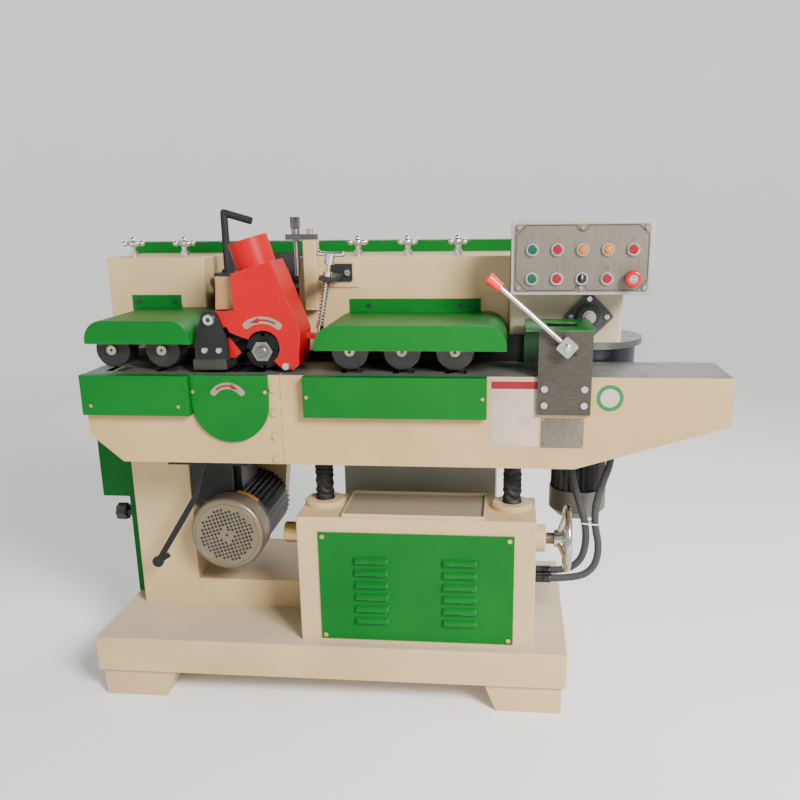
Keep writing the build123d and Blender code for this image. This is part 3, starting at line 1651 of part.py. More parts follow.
# Fittings on the frame: flange bearing, glands, bezels, lamps, side knob and screws
bearing_z = housing_bottom + bearing_rise
outfeed_screw_z = table_top + outfeed_guard_rise + outfeed_guard_height + guard_upstand_height / 2
infeed_screw_z = table_top + infeed_guard_rise + infeed_guard_height + guard_upstand_height / 2
guard_screws = (
    (outfeed_upstand, outfeed_upstand_inset, outfeed_screw_z),
    (infeed_upstand, infeed_upstand_inset, infeed_screw_z),
)
with BuildPart() as fittings:
    bearing_y = (housing_front - bearing_thickness, housing_front)
    with BuildSketch(facing(housing_front)) as flange_face:
        with Locations((drive_x, bearing_z)):
            Rectangle(bearing_flange, bearing_flange, rotation=45)
        fillet(flange_face.vertices(), gearbox_round)
    extrude(flange_face.sketch, amount=bearing_thickness)
    round_y(drive_x, bearing_z, (housing_front - bearing_reach, housing_front), bearing_radius)
    for i in range(4):
        turn = pi / 2 * i
        bolt_x = drive_x + bearing_bolt_spread * cos(turn)
        bolt_z = bearing_z + bearing_bolt_spread * sin(turn)
        hex_y(bolt_x, bolt_z, (bearing_y[0] - bolt_head_height, bearing_y[0]), bearing_bolt_radius)
    for route in (conduit_route_a, conduit_route_b):
        round_x(route[0][1], route[0][2], span(cabinet_right, gland_length), gland_radius)
    for x, z in buttons:
        round_y(x, z, (control_face - bezel_height, control_face), bezel_radius)
        round_y(x, z, (control_face - bezel_height, control_face), button_hole, mode=Mode.SUBTRACT)
    for index in lamp_spots:
        round_y(*buttons[index], (control_face - bezel_height, control_face), bezel_radius)
        round_y(*buttons[index], (control_face - button_reach, control_face), button_radius)
    for x in (plate_x[0] + plate_screw_inset, sum(plate_x) / 2, plate_x[1] - plate_screw_inset):
        for z in shrink(plate_z, plate_screw_inset):
            round_y(x, z, (control_face - screw_head_height, control_face), plate_screw_radius)
    for x in shrink(span(panel_left, panel_width), 2 * screw_head_radius):
        for z in shrink((panel_top - panel_height, panel_top), 2 * screw_head_radius):
            round_y(x, z, (panel_face - screw_head_height, panel_face), screw_head_radius)
    knob_z = plinth_top + side_knob_height
    knob_left = side_door_x[0] - side_knob_reach
    round_x(side_knob_y, knob_z, (knob_left, side_door_x[0]), side_knob_radius / 2)
    finned(sideways(knob_left), side_knob_y, knob_z, side_knob_tips, side_knob_radius,
           side_knob_dent, side_knob_depth)
    round_z(sum(post_x) / 2, adjuster_y, span(clamp_top, clamp_bar_thickness), bolt_head_radius)
    plate_face = gearbox_front - arm_plate_thickness
    plate_bolt_x = bracket_plate_x[1] - bolt_head_radius - shaft_end_gap
    plate_bolt_z = sum(bracket_plate_z) / 2
    hex_y(plate_bolt_x, plate_bolt_z, (plate_face - bolt_head_height, plate_face), bolt_head_radius)
    screw_y = (gearbox_front - guard_sheet - screw_head_height, gearbox_front - guard_sheet)
    for upstand, inset, z in guard_screws:
        for x in shrink(upstand, inset):
            round_y(x, z, screw_y, screw_head_radius)
save("frame_fittings", fittings)
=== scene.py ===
import math

import bmesh
import bpy
import numpy as np
from bpy.props import FloatProperty, FloatVectorProperty, IntProperty, PointerProperty
from mathutils import Matrix, Vector


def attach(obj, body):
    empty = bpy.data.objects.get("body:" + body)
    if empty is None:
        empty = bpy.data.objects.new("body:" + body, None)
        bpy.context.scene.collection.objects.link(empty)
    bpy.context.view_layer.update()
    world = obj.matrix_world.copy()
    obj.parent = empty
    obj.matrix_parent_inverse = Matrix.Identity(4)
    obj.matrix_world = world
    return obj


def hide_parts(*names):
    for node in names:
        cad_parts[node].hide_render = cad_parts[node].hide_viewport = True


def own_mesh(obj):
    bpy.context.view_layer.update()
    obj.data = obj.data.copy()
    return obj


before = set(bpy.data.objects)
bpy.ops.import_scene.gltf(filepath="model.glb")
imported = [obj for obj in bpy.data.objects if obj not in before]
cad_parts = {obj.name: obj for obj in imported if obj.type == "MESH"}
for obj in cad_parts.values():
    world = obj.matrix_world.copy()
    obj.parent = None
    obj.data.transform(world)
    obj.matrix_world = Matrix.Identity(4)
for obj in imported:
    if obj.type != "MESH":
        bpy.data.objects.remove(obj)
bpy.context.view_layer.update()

bl_info = {
    "name": "Round stick making machine",
    "version": (1, 0, 0),
    "blender": (4, 5, 0),
    "location": "View3D > Sidebar > Stick Machine",
    "description": "Finishes and fine pieces of a round stick making machine",
    "category": "Object",
}

# The layout counts in millimetres from the table's middle, the base's front and the floor
LAYOUT_X = 66.0
LAYOUT_Y = -302.85

# Axes, faces and rows that several pieces share, in layout millimetres
TRAY_FLOOR = 538.5
MOTOR_X, MOTOR_Z = -505, 433
BEARING_X, BEARING_Z = 475, 1030
PIVOT_X, PIVOT_Z = -465, 1048
LEVER_X, LEVER_Z = 406, 991
ROLLER_Z = 969
BED_FRONT = 15.05
PANEL_FRONT = 97.05
BUTTONS_X = (323, 382.5, 442, 501.5, 561)
LAMPS_X = BUTTONS_X[2:4]
LOW_ROW, HIGH_ROW = 1139, 1207
FRONT = (0, -1, 0)


def at_x(x):
    return (x + LAYOUT_X) / 1000


def at_y(y):
    return (y + LAYOUT_Y) / 1000


def at_z(z):
    return z / 1000


def place(x, y, z):
    """A layout point in metres, in the frame of the model."""
    return Vector((at_x(x), at_y(y), at_z(z)))


def polar(radius, turn, x=0.0, z=0.0):
    """The point at a radius and an angle round a middle."""
    return x + radius * math.cos(turn), z + radius * math.sin(turn)


def tint(name, text, default):
    return FloatVectorProperty(
        name=name, description=text, default=default, min=0, max=1, size=3, subtype="COLOR"
    )


def length(name, text, default):
    return FloatProperty(
        name=name, description=text, default=default, min=0, unit="LENGTH", precision=5
    )


def count(name, text, default):
    return IntProperty(name=name, description=text, default=default, min=2)


def amount(name, text, default):
    return FloatProperty(name=name, description=text, default=default, min=0)


class StickMachineColours(bpy.types.PropertyGroup):
    """Colours of the machine's finishes"""

    cream: tint("Cream", "Enamel of the base and columns", (0.53, 0.375, 0.187))
    bed_cream: tint("Bed cream", "Enamel of the bed", (0.48, 0.31, 0.135))
    green: tint("Green", "Enamel of covers and guards", (0.001, 0.115, 0.012))
    red: tint("Red", "Enamel of the cutter hood", (0.42, 0.0005, 0.005))
    blue: tint("Blue", "Enamel of the feed reducer", (0.001, 0.002, 0.010))
    motor_grey: tint("Motor grey", "Enamel of the motor castings", (0.012, 0.015, 0.017))
    cowl_grey: tint("Cowl grey", "Enamel of the feed motor's cowl", (0.10, 0.10, 0.085))
    champagne: tint("Champagne", "Lower motor's cowl", (0.18, 0.145, 0.095))
    black: tint("Black", "Blackened castings", (0.002, 0.0022, 0.0024))
    dark_steel: tint("Dark steel", "Slideway and lift columns", (0.06, 0.06, 0.06))
    chrome: tint("Chrome", "Bright plate", (0.74, 0.73, 0.71))
    brass: tint("Brass", "Yellow plated screws", (0.62, 0.46, 0.20))
    plate_grey: tint("Plate grey", "Front plate of the control box", (0.18, 0.153, 0.122))
    rubber: tint("Rubber", "Boots", (0.004, 0.004, 0.004))
    lamp: tint("Lamp", "Lens of the pilot lamps", (0.50, 0.14, 0.0))
    tan: tint("Tan", "Board flap behind the hood", (0.40, 0.21, 0.085))
    paper: tint("Paper", "Bare labels", (0.46, 0.36, 0.275))


class StickMachineSizes(bpy.types.PropertyGroup):
    """Sizes of the fine pieces"""

    conduit_radius: length("Conduit radius", "Outside of the conduits", 0.0105)
    rib_pitch: length("Rib pitch", "Distance between conduit ribs", 0.0062)
    rib_depth: length("Rib depth", "Depth of a conduit's grooves", 0.0011)
    low_conduit: length("Lower conduit", "Length of the lower conduit", 0.430)
    high_conduit: length("Upper conduit", "Length of the upper conduit", 0.511)
    tie_height: length("Tie height", "Height of the cable tie above the floor", 0.472)
    boot_radius: length("Boot radius", "Outside of the folded boots", 0.027)
    boot_fold: length("Fold depth", "Depth of a boot's folds", 0.005)
    boot_folds: count("Folds", "Folds of one boot", 7)
    coil_radius: length("Coil radius", "Middle of the spring's wire", 0.0084)
    wire_radius: length("Wire radius", "Wire of the spring", 0.0014)
    coil_turns: count("Turns", "Turns of the spring", 14)
    grille_radius: length("Grille radius", "Holed disc of the lower motor's cowl", 0.089)
    grille_holes: length("Holed area", "Radius of the area with holes", 0.075)
    grille_pitch: length("Hole pitch", "Distance between the cowl's holes", 0.0105)
    grille_hole: length("Hole size", "Half width of one hole across its corners", 0.0052)
    grille_sheet: length("Grille sheet", "Thickness of the holed disc", 0.0009)


class StickMachineStage(bpy.types.PropertyGroup):
    """Camera and light"""

    lens: amount("Lens", "Focal length in millimetres", 39.5)
    key: amount("Key light", "Watts of the main light", 540)
    fill: amount("Fill light", "Watts of the side light", 5)
    rim: amount("Back light", "Watts of the light behind", 60)
    sky: amount("Room light", "Strength of the room light", 0.1)
    glow: amount("Backdrop glow", "Own light of the backdrop", 0.05)


def colours():
    return bpy.context.scene.stick_machine_colours


def sizes():
    return bpy.context.scene.stick_machine_sizes


def stage_settings():
    return bpy.context.scene.stick_machine_stage


# Finishes


def sums(operation, turned_round=False):
    """A method that puts a maths node between two values."""

    def method(self, other):
        first, second = (other, self) if turned_round else (self, other)
        return self.node("Math", {"operation": operation}, {0: first, 1: second})

    return method


class Shade:
    """A shader socket that takes part in sums, and the way to add any other node beside it"""

    def __init__(self, tree, socket=None):
        self.tree = tree
        self.socket = socket

    def node(self, kind, settings=None, inputs=None, out=0):
        """Adds a node: its settings first, then its inputs, and gives one output back."""
        made = self.tree.nodes.new("ShaderNode" + kind)
        for name, value in (settings or {}).items():
            setattr(made, name, value)
        for name, value in (inputs or {}).items():
            if isinstance(value, Shade):
                self.tree.links.new(value.socket, made.inputs[name])
            else:
                made.inputs[name].default_value = value
        return Shade(self.tree, made.outputs[out] if made.outputs else None)

    __add__, __radd__ = sums("ADD"), sums("ADD", turned_round=True)
    __sub__, __rsub__ = sums("SUBTRACT"), sums("SUBTRACT", turned_round=True)
    __mul__ = sums("MULTIPLY")
    __gt__, __lt__ = sums("GREATER_THAN"), sums("LESS_THAN")


class Finish:
    """What one finish shows: colour, roughness, metal, and relief in millimetres"""

    def __init__(self, colour, rough, metal, relief):
        self.colour = colour
        self.rough = rough
        self.metal = metal
        self.relief = relief


def rgba(colour, scale=1.0):
    return (*[min(1.0, c * scale) for c in tuple(colour)[:3]], 1.0)


def point_of(c):
    return c.node("TexCoord", out="Object")


def stretched(c, scale):
    """Object coordinates stretched along the axes, for a brushed grain."""
    return c.node("VectorMath", {"operation": "MULTIPLY"}, {0: point_of(c), 1: scale})


def noise(c, scale, detail=3.0, point=None, warp=0.0):
    inputs = {"Vector": point or point_of(c), "Scale": scale, "Detail": detail, "Distortion": warp}
    return c.node("TexNoise", None, inputs)


def ramp(c, value, low, high):
    """0 below low, 1 above high, smooth between."""
    return c.node("MapRange", {"interpolation_type": "SMOOTHSTEP"}, {0: value, 1: low, 2: high})


def mix(c, share, first, second):
    return c.node("Mix", {"data_type": "RGBA"}, {0: share, 6: first, 7: second}, out=2)


def edges(c, radius):
    """1 on outer and inner edges of the surface, 0 on its flats."""
    soft = c.node("Bevel", {"samples": 4}, {"Radius": radius})
    flat = c.node("NewGeometry", out="Normal")
    like = c.node("VectorMath", {"operation": "DOT_PRODUCT"}, {0: soft, 1: flat}, out="Value")
    return ramp(c, 1 - like, 0.02, 0.22)


def enamel(c, colour, rough=0.36, peel=0.03, worn=0.35):
    """Sprayed enamel with cloudy tone, handling marks and rubbed edges."""
    cloud = noise(c, 3.2, 5.0)
    fleck = noise(c, 120.0, 4.0)
    tone = mix(c, ramp(c, cloud, 0.30, 0.70), rgba(colour, 0.88), rgba(colour, 1.06))
    tone = mix(c, ramp(c, fleck, 0.66, 0.80) * 0.20, tone, rgba(colour, 0.62))
    rub = edges(c, 0.0025) * ramp(c, noise(c, 55.0, 4.0), 0.42, 0.62) * worn
    pale = tuple(0.35 * x + 0.33 for x in tuple(colour)[:3])
    tone = mix(c, rub, tone, rgba(pale))
    dull = rough + (fleck - 0.5) * 0.16 + (cloud - 0.5) * 0.14 + rub * 0.2
    relief = noise(c, 420.0, 2.0) * peel + noise(c, 9.0, 2.0) * 0.25
    return Finish(tone, dull, 0.0, relief)


def sheet_enamel(c, colour, rough=0.42):
    """The thick, little worn enamel of the base, columns and housings."""
    return enamel(c, colour, rough, 0.05, 0.25)


def cowl_enamel(c, worn):
    """Champagne enamel with metal flakes."""
    made = enamel(c, colours().champagne, 0.32, 0.02, worn)
    made.metal = 0.45
    return made


def casting(c, colour, rough=0.5, worn=0.5):
    """Blackened or painted casting with a sandy skin and steel showing at rubbed edges."""
    sand = noise(c, 320.0, 4.0)
    cloud = noise(c, 14.0, 4.0)
    tone = mix(c, ramp(c, cloud, 0.3, 0.7), rgba(colour, 0.75), rgba(colour, 1.5))
    rub = edges(c, 0.002) * ramp(c, noise(c, 70.0, 4.0), 0.45, 0.65) * worn
    tone = mix(c, rub, tone, (0.22, 0.21, 0.20, 1.0))
    dull = rough + (sand - 0.5) * 0.25 + (cloud - 0.5) * 0.12 - rub * 0.12
    return Finish(tone, dull, rub * 0.8, sand * 0.12)


def brushed(c, colour, grain=(20.0, 20.0, 900.0), rough=0.36, metal=0.92, stain=0.35):
    """Ground steel: fine lines one way, with darker stains."""
    line = noise(c, 1.0, 3.0, stretched(c, grain))
    blotch = noise(c, 16.0, 5.0, warp=0.6)
    tone = mix(c, ramp(c, line, 0.25, 0.75), rgba(colour, 0.82), rgba(colour, 1.14))
    tone = mix(c, ramp(c, blotch, 0.50, 0.74) * stain, tone, rgba(colour, 0.50))
    rub = edges(c, 0.0015) * 0.45
    tone = mix(c, rub, tone, rgba(colour, 1.6))
    dull = rough + (line - 0.5) * 0.16 + ramp(c, blotch, 0.45, 0.75) * 0.14
    return Finish(tone, dull, metal, line * 0.02)


def plated(c, colour, rough=0.14):
    """Bright plate with smudges and fine scratches."""
    smudge = noise(c, 28.0, 4.0)
    scratch = noise(c, 1.0, 2.0, stretched(c, (90.0, 900.0, 160.0)))
    tone = mix(c, ramp(c, smudge, 0.35, 0.75), rgba(colour), rgba(colour, 0.78))
    dull = rough + ramp(c, smudge, 0.45, 0.75) * 0.16 + ramp(c, scratch, 0.55, 0.8) * 0.08
    return Finish(tone, dull, 1.0, scratch * 0.006)


def rubbery(c, colour, rough=0.62, dust=0.35, grain=0.05):
    """Black rubber with a dusty bloom."""
    bloom = noise(c, 22.0, 5.0)
    pore = noise(c, 600.0, 2.0)
    tone = mix(c, ramp(c, bloom, 0.48, 0.78) * dust, rgba(colour), (0.11, 0.10, 0.09, 1.0))
    dull = rough + (bloom - 0.5) * 0.2 + (pore - 0.5) * 0.1
    return Finish(tone, dull, 0.0, pore * grain)


def moulded(c, colour, rough=0.25):
    """Moulded plastic with a faint flow and fingerprints."""
    flow = noise(c, 60.0, 3.0)
    touch = noise(c, 260.0, 4.0)
    tone = mix(c, ramp(c, flow, 0.3, 0.7), rgba(colour, 0.90), rgba(colour, 1.08))
    dull = rough + ramp(c, touch, 0.5, 0.75) * 0.18
    return Finish(tone, dull, 0.0, touch * 0.006)


def paper(c, colour):
    """Printed film or board with fibres and a little yellowing."""
    fibre = noise(c, 1.0, 3.0, stretched(c, (500.0, 500.0, 160.0)))
    age = noise(c, 30.0, 4.0)
    tone = mix(c, ramp(c, age, 0.4, 0.75), rgba(colour), rgba(colour, 0.86))
    tone = mix(c, ramp(c, fibre, 0.55, 0.8) * 0.3, tone, rgba(colour, 0.75))
    return Finish(tone, 0.5 + (fibre - 0.5) * 0.2, 0.0, fibre * 0.02)


def zoned(c, base, *zones):
    """One finish over the whole node, with other finishes where their masks are 1."""
    made = base
    for mask, other in zones:
        made = Finish(
            mix(c, mask, made.colour, other.colour),
            made.rough * (1 - mask) + other.rough * mask,
            mask * other.metal + (1 - mask) * made.metal,
            made.relief * (1 - mask) + other.relief * mask,
        )
    return made


class Where:
    """Masks on a node by layout millimetres"""

    def __init__(self, c):
        part = c.tree.nodes.new("ShaderNodeSeparateXYZ")
        c.tree.links.new(point_of(c).socket, part.inputs[0])
        self.x, self.y, self.z = [Shade(c.tree, s) for s in part.outputs]

    def box(self, x=None, y=None, z=None):
        mask = None
        sides = ((self.x, x, at_x), (self.y, y, at_y), (self.z, z, at_z))
        for value, limits, at in sides:
            if limits:
                inside = (value > at(limits[0])) * (value < at(limits[1]))
                mask = inside if mask is None else mask * inside
        return mask

    def rod(self, x, z, radius):
        """1 within a radius of an axis along Y."""
        across = self.x - at_x(x)
        up = self.z - at_z(z)
        return (across * across + up * up) < (radius / 1000) ** 2

    def before(self, y):
        """1 nearer to the operator than a plane."""
        return self.y < at_y(y)


def material(name, paint, coat=0.0, coat_rough=0.1, shine=0.4, glow=0.0):
    """A material from a function that gives its finish."""
    made = bpy.data.materials.new(name)
    made.use_nodes = True
    tree = made.node_tree
    tree.nodes.clear()
    c = Shade(tree)
    finish = paint(c)
    bump = {"Strength": 1.0, "Distance": 0.001, "Height": finish.relief}
    inputs = {
        "Base Color": finish.colour,
        "Roughness": finish.rough,
        "Metallic": finish.metal,
        "Normal": c.node("Bump", None, bump, out="Normal"),
        "Specular IOR Level": shine,
        "Coat Weight": coat,
        "Coat Roughness": coat_rough,
    }
    if glow:
        inputs["Emission Color"] = finish.colour
        inputs["Emission Strength"] = glow
    surface = c.node("BsdfPrincipled", None, inputs)
    c.node("OutputMaterial", None, {"Surface": surface})
    return made


def dress(finish, *nodes):
    """Gives CAD nodes a finish."""
    for name in nodes:
        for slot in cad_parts[name].material_slots:
            slot.material = finish


def named(name, paint, **more):
    """The material of that name, made once."""
    return bpy.data.materials.get(name) or material(name, paint, **more)


def cream_paint():
    return named("cream_enamel", lambda c: sheet_enamel(c, colours().cream, 0.38))


def green_paint():
    return named("green_enamel", lambda c: enamel(c, colours().green, 0.4, worn=0.3), shine=0.15)


def red_paint():
    return named("red_enamel", lambda c: enamel(c, colours().red, 0.4, worn=0.3), shine=0.15)


def motor_paint():
    return named("motor_enamel", lambda c: enamel(c, colours().motor_grey, 0.4))


def black_iron():
    return named("black_iron", lambda c: casting(c, colours().black, worn=0.25), shine=0.2)


def bright_plate():
    return named("bright_plate", lambda c: plated(c, colours().chrome))


def zinc_plate():
    return named("zinc_plate", lambda c: plated(c, (0.62, 0.60, 0.56), 0.24))


def black_moulding():
    return named("black_moulding", lambda c: moulded(c, (0.02, 0.02, 0.021), 0.32))


def dark_print():
    return named("printed_line", lambda c: paper(c, (0.03, 0.028, 0.026)))


# Mesh helpers


def piece_of(name, mesh, finish, body, sharp=35.0):
    """Links a mesh as a piece that rides on a body."""
    mesh.name = name
    mesh.polygons.foreach_set("use_smooth", [True] * len(mesh.polygons))
    mesh.set_sharp_from_angle(angle=math.radians(sharp))
    made = bpy.data.objects.new(name, mesh)
    bpy.context.scene.collection.objects.link(made)
    if finish is not None:
        mesh.materials.clear()
        mesh.materials.append(finish)
    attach(made, body)
    return made


def mesh_of(parts):
    """One mesh from lists of vertices and faces, doubles merged and faces turned outwards."""
    work = bmesh.new()
    for points, faces in parts:
        made = [work.verts.new(tuple(p)) for p in points]
        for face in faces:
            work.faces.new([made[i] for i in face])
    bmesh.ops.remove_doubles(work, verts=work.verts, dist=1e-6)
    return finished(work)


def finished(work):
    """A mesh from work that is done, its faces turned outwards."""
    bmesh.ops.recalc_face_normals(work, faces=work.faces)
    mesh = bpy.data.meshes.new("part")
    work.to_mesh(mesh)
    work.free()
    return mesh


def quads(rows, columns, round_rows=False, round_columns=False):
    """Faces between points that lie row after row, closed round either way."""
    faces = []
    for i in range(rows if round_rows else rows - 1):
        k = (i + 1) % rows
        for j in range(columns if round_columns else columns - 1):
            m = (j + 1) % columns
            faces.append((i * columns + j, i * columns + m, k * columns + m, k * columns + j))
    return faces


def sweep(path, radii, sides):
    """A closed tube along points, with its own radius at each."""
    path = np.array(path, float)
    way = np.gradient(path, axis=0)
    way /= np.linalg.norm(way, axis=1)[:, None]
    across = np.cross(way[0], (0.31, 0.62, 0.72))
    turn = np.arange(sides) * 2 * math.pi / sides
    points = []
    for here, along, radius in zip(path, way, radii):
        across = across - along * across.dot(along)
        across /= np.linalg.norm(across)
        other = np.cross(along, across)
        ring = np.outer(np.cos(turn), across) + np.outer(np.sin(turn), other)
        points.extend(here + radius * ring)
    faces = quads(len(path), sides, round_columns=True)
    faces.append(tuple(range(sides)))
    faces.append(tuple(range((len(path) - 1) * sides, len(path) * sides)))
    return points, faces


def turned(profile, centre, axis=FRONT, steps=40, closed=False):
    """A profile of (radius, distance) pairs in millimetres, turned about an axis."""
    axis = Vector(axis).normalized()
    first = axis.orthogonal().normalized()
    second = axis.cross(first)
    points = []
    for i in range(steps):
        across, up = polar(1, 2 * math.pi * i / steps)
        side = first * across + second * up
        points.extend(Vector(centre) + side * (r / 1000) + axis * (d / 1000) for r, d in profile)
    faces = []
    for near, low, *far in quads(steps, len(profile), True, closed):
        far = [p for p in far if profile[p % len(profile)][0] > 0]
        if far:
            faces.append((near, low, *far))
    return points, faces


def turned_piece(name, profile, centre, finish, body, slot=None, sharp=35.0, **more):
    mesh = mesh_of([turned(profile, centre, **more)])
    return piece_of(name, mesh, finish, body, sharp)


def plate(outline, front, back, edge=0.0):
    """A flat plate in the XZ plane from layout (x, z) pairs, its front edge eased."""
    work = bmesh.new()
    face = work.faces.new([work.verts.new(place(x, back, z)) for x, z in outline])
    grown = bmesh.ops.extrude_face_region(work, geom=[face])["geom"]
    moved = [v for v in grown if isinstance(v, bmesh.types.BMVert)]
    bmesh.ops.translate(work, verts=moved, vec=(0, (front - back) / 1000, 0))
    if edge:
        rim = [e for e in work.edges if all(v in moved for v in e.verts)]
        bmesh.ops.bevel(
            work, geom=rim, offset=edge / 1000, segments=2, profile=0.5, affect="EDGES"
        )
    return finished(work)


def joined(*meshes):
    """One mesh from several."""
    work = bmesh.new()
    for mesh in meshes:
        work.from_mesh(mesh)
        bpy.data.meshes.remove(mesh)
    made = bpy.data.meshes.new("joined")
    work.to_mesh(made)
    work.free()
    return made


def box_outline(x, z):
    """Corners of a rectangle."""
    return [(x[0], z[0]), (x[1], z[0]), (x[1], z[1]), (x[0], z[1])]


def rounded(x, z, corner, steps=3):
    """Outline of a rectangle with round corners."""
    outline = []
    right, top = x[1] - corner, z[1] - corner
    left, low = x[0] + corner, z[0] + corner
    middles = ((right, top), (left, top), (left, low), (right, low))
    for quarter, middle in enumerate(middles):
        for i in range(steps + 1):
            a = math.radians(90 * quarter + 90 * i / steps)
            outline.append(polar(corner, a, *middle))
    return outline


def circle(x, z, radius, steps=40):
    return [polar(radius, 2 * math.pi * i / steps, x, z) for i in range(steps)]


def ring_band(centre, inner, outer, start, end):
    """Outline of a bent strip round a centre, in degrees, with round ends."""
    steps, end_steps = 20, 8
    half_turn = math.copysign(math.pi, end - start)
    angles = [math.radians(start + (end - start) * i / steps) for i in range(steps + 1)]

    def cap(turn, begin):
        middle = polar((inner + outer) / 2, turn, *centre)
        ways = [begin + half_turn * i / end_steps for i in range(1, end_steps)]
        return [polar((outer - inner) / 2, a, *middle) for a in ways]

    outline = [polar(outer, a, *centre) for a in angles] + cap(angles[-1], angles[-1])
    outline += [polar(inner, a, *centre) for a in reversed(angles)]
    return outline + cap(angles[0], angles[0] + math.pi)


def bent_arrow(centre, radius, width, start, end):
    """Outline of an arrow bent round a centre, its point at the end angle."""
    steps, head_share, barb_share = 14, 0.36, 1.4
    neck = end - (end - start) * head_share
    angles = [math.radians(start + (neck - start) * i / steps) for i in range(steps + 1)]
    sides = [[polar(radius + w / 2, a, *centre) for a in angles] for w in (width, -width)]
    barbs = [
        polar(radius + w * barb_share, math.radians(neck), *centre) for w in (width, -width)
    ]
    tip = polar(radius, math.radians(end), *centre)
    return sides[0] + [barbs[0], tip, barbs[1]] + sides[1][::-1]


# Geometry nodes


class Growth:
    """A geometry node tree with named sizes, which makes one plain mesh at a time"""

    def __init__(self, name, **sizes_of):
        self.tree = bpy.data.node_groups.new(name, "GeometryNodeTree")
        socket = self.tree.interface.new_socket
        socket("Geometry", in_out="OUTPUT", socket_type="NodeSocketGeometry")
        socket("Geometry", in_out="INPUT", socket_type="NodeSocketGeometry")
        self.keys = {}
        for key, kind in sizes_of.items():
            made = socket(key, in_out="INPUT", socket_type="NodeSocket" + kind)
            self.keys[key] = made.identifier
        self.size = self.tree.nodes.new("NodeGroupInput").outputs

    def add(self, kind, inputs, out=0, **settings):
        """Adds a node with its settings and inputs, and gives one output back."""
        made = self.tree.nodes.new(kind if "Node" in kind else "GeometryNode" + kind)
        for name, value in settings.items():
            setattr(made, name, value)
        for name, value in inputs.items():
            for one in value if isinstance(value, list) else [value]:
                if isinstance(one, bpy.types.NodeSocket):
                    self.tree.links.new(one, made.inputs[name])
                else:
                    made.inputs[name].default_value = one
        return made.outputs[out]

    def times(self, value, factor):
        return self.add("ShaderNodeMath", {0: value, 1: factor}, operation="MULTIPLY")

    def vector(self, **parts):
        inputs = {"xyz".index(key): value for key, value in parts.items()}
        return self.add("ShaderNodeCombineXYZ", inputs)

    def end(self, shape, finish):
        real = self.add("RealizeInstances", {"Geometry": shape})
        done = self.add("SetMaterial", {"Geometry": real, "Material": finish})
        sink = self.tree.nodes.new("NodeGroupOutput")
        self.tree.links.new(done, sink.inputs[0])

    def grow(self, seed_mesh, **values):
        """Runs the tree on a mesh and gives the plain mesh that it makes."""
        host = bpy.data.objects.new("host", seed_mesh)
        bpy.context.scene.collection.objects.link(host)
        live = host.modifiers.new("growth", "NODES")
        live.node_group = self.tree
        for key, value in values.items():
            live[self.keys[key]] = value
        graph = bpy.context.evaluated_depsgraph_get()
        made = bpy.data.meshes.new_from_object(host.evaluated_get(graph))
        host.modifiers.remove(live)
        bpy.data.objects.remove(host)
        bpy.data.meshes.remove(seed_mesh)
        return made


def spots_mesh(spots):
    """A mesh of loose points, where a growth sets its copies."""
    mesh = bpy.data.meshes.new("spots")
    mesh.from_pydata([tuple(p) for p in spots], [], [])
    return mesh


def screw_growth(finish):
    """Cross-slotted heads that face the front, turned at random with a fixed seed."""
    sides, waist, reach, lift = 20, 0.72, 1.15, 1.1
    g = Growth("screw_heads", Radius="Float", Height="Float", Slot="Float")
    radius, height, slot = g.size["Radius"], g.size["Height"], g.size["Slot"]
    top = g.times(radius, waist)
    cone = {"Vertices": sides, "Radius Top": top, "Radius Bottom": radius, "Depth": height}
    head = g.add("MeshCone", cone, fill_type="NGON")
    long = g.times(radius, reach)
    up = g.vector(z=g.times(height, lift))
    cut = []
    for bar in (g.vector(x=long, y=slot, z=height), g.vector(x=slot, y=long, z=height)):
        cube = g.add("MeshCube", {"Size": bar})
        cut.append(g.add("Transform", {"Geometry": cube, "Translation": up}))
    shape = g.add("MeshBoolean", {0: head, 1: cut}, operation="DIFFERENCE", solver="EXACT")
    aim = g.add("FunctionNodeAlignRotationToVector", {"Vector": FRONT}, axis="Z")
    chance = {2: 0.0, 3: 1.5, "Seed": 7}
    spin = g.add("FunctionNodeRandomValue", chance, out=1, data_type="FLOAT")
    own = g.add("FunctionNodeEulerToRotation", {0: g.vector(z=spin)})
    both = g.add("FunctionNodeRotateRotation", {0: aim, 1: own}, rotation_space="LOCAL")
    spots = {"Points": g.size["Geometry"], "Instance": shape, "Rotation": both}
    g.end(g.add("InstanceOnPoints", spots), finish)
    return g


def holed_growth(finish):
    """A disc with holes at given points, as a sheet with its own thickness."""
    rim_sides = 72
    g = Growth("holed_disc", Radius="Float", Hole="Float", Sides="Int", Sheet="Float")
    circles = "CurvePrimitiveCircle"
    rim = g.add(circles, {"Resolution": rim_sides, "Radius": g.size["Radius"]})
    hole = g.add(circles, {"Resolution": g.size["Sides"], "Radius": g.size["Hole"]})
    holes = g.add("InstanceOnPoints", {"Points": g.size["Geometry"], "Instance": hole})
    real = g.add("RealizeInstances", {"Geometry": holes})
    flat = g.add("FillCurve", {"Curve": g.add("JoinGeometry", {0: [rim, real]})})
    thick = {"Mesh": flat, "Offset Scale": g.size["Sheet"], "Individual": False}
    raised = g.add("ExtrudeMesh", thick)
    back = g.add("FlipFaces", {"Mesh": flat})
    whole = g.add("JoinGeometry", {0: [raised, back]})
    g.end(g.add("MergeByDistance", {"Geometry": whole, "Distance": 1e-6}), finish)
    return g


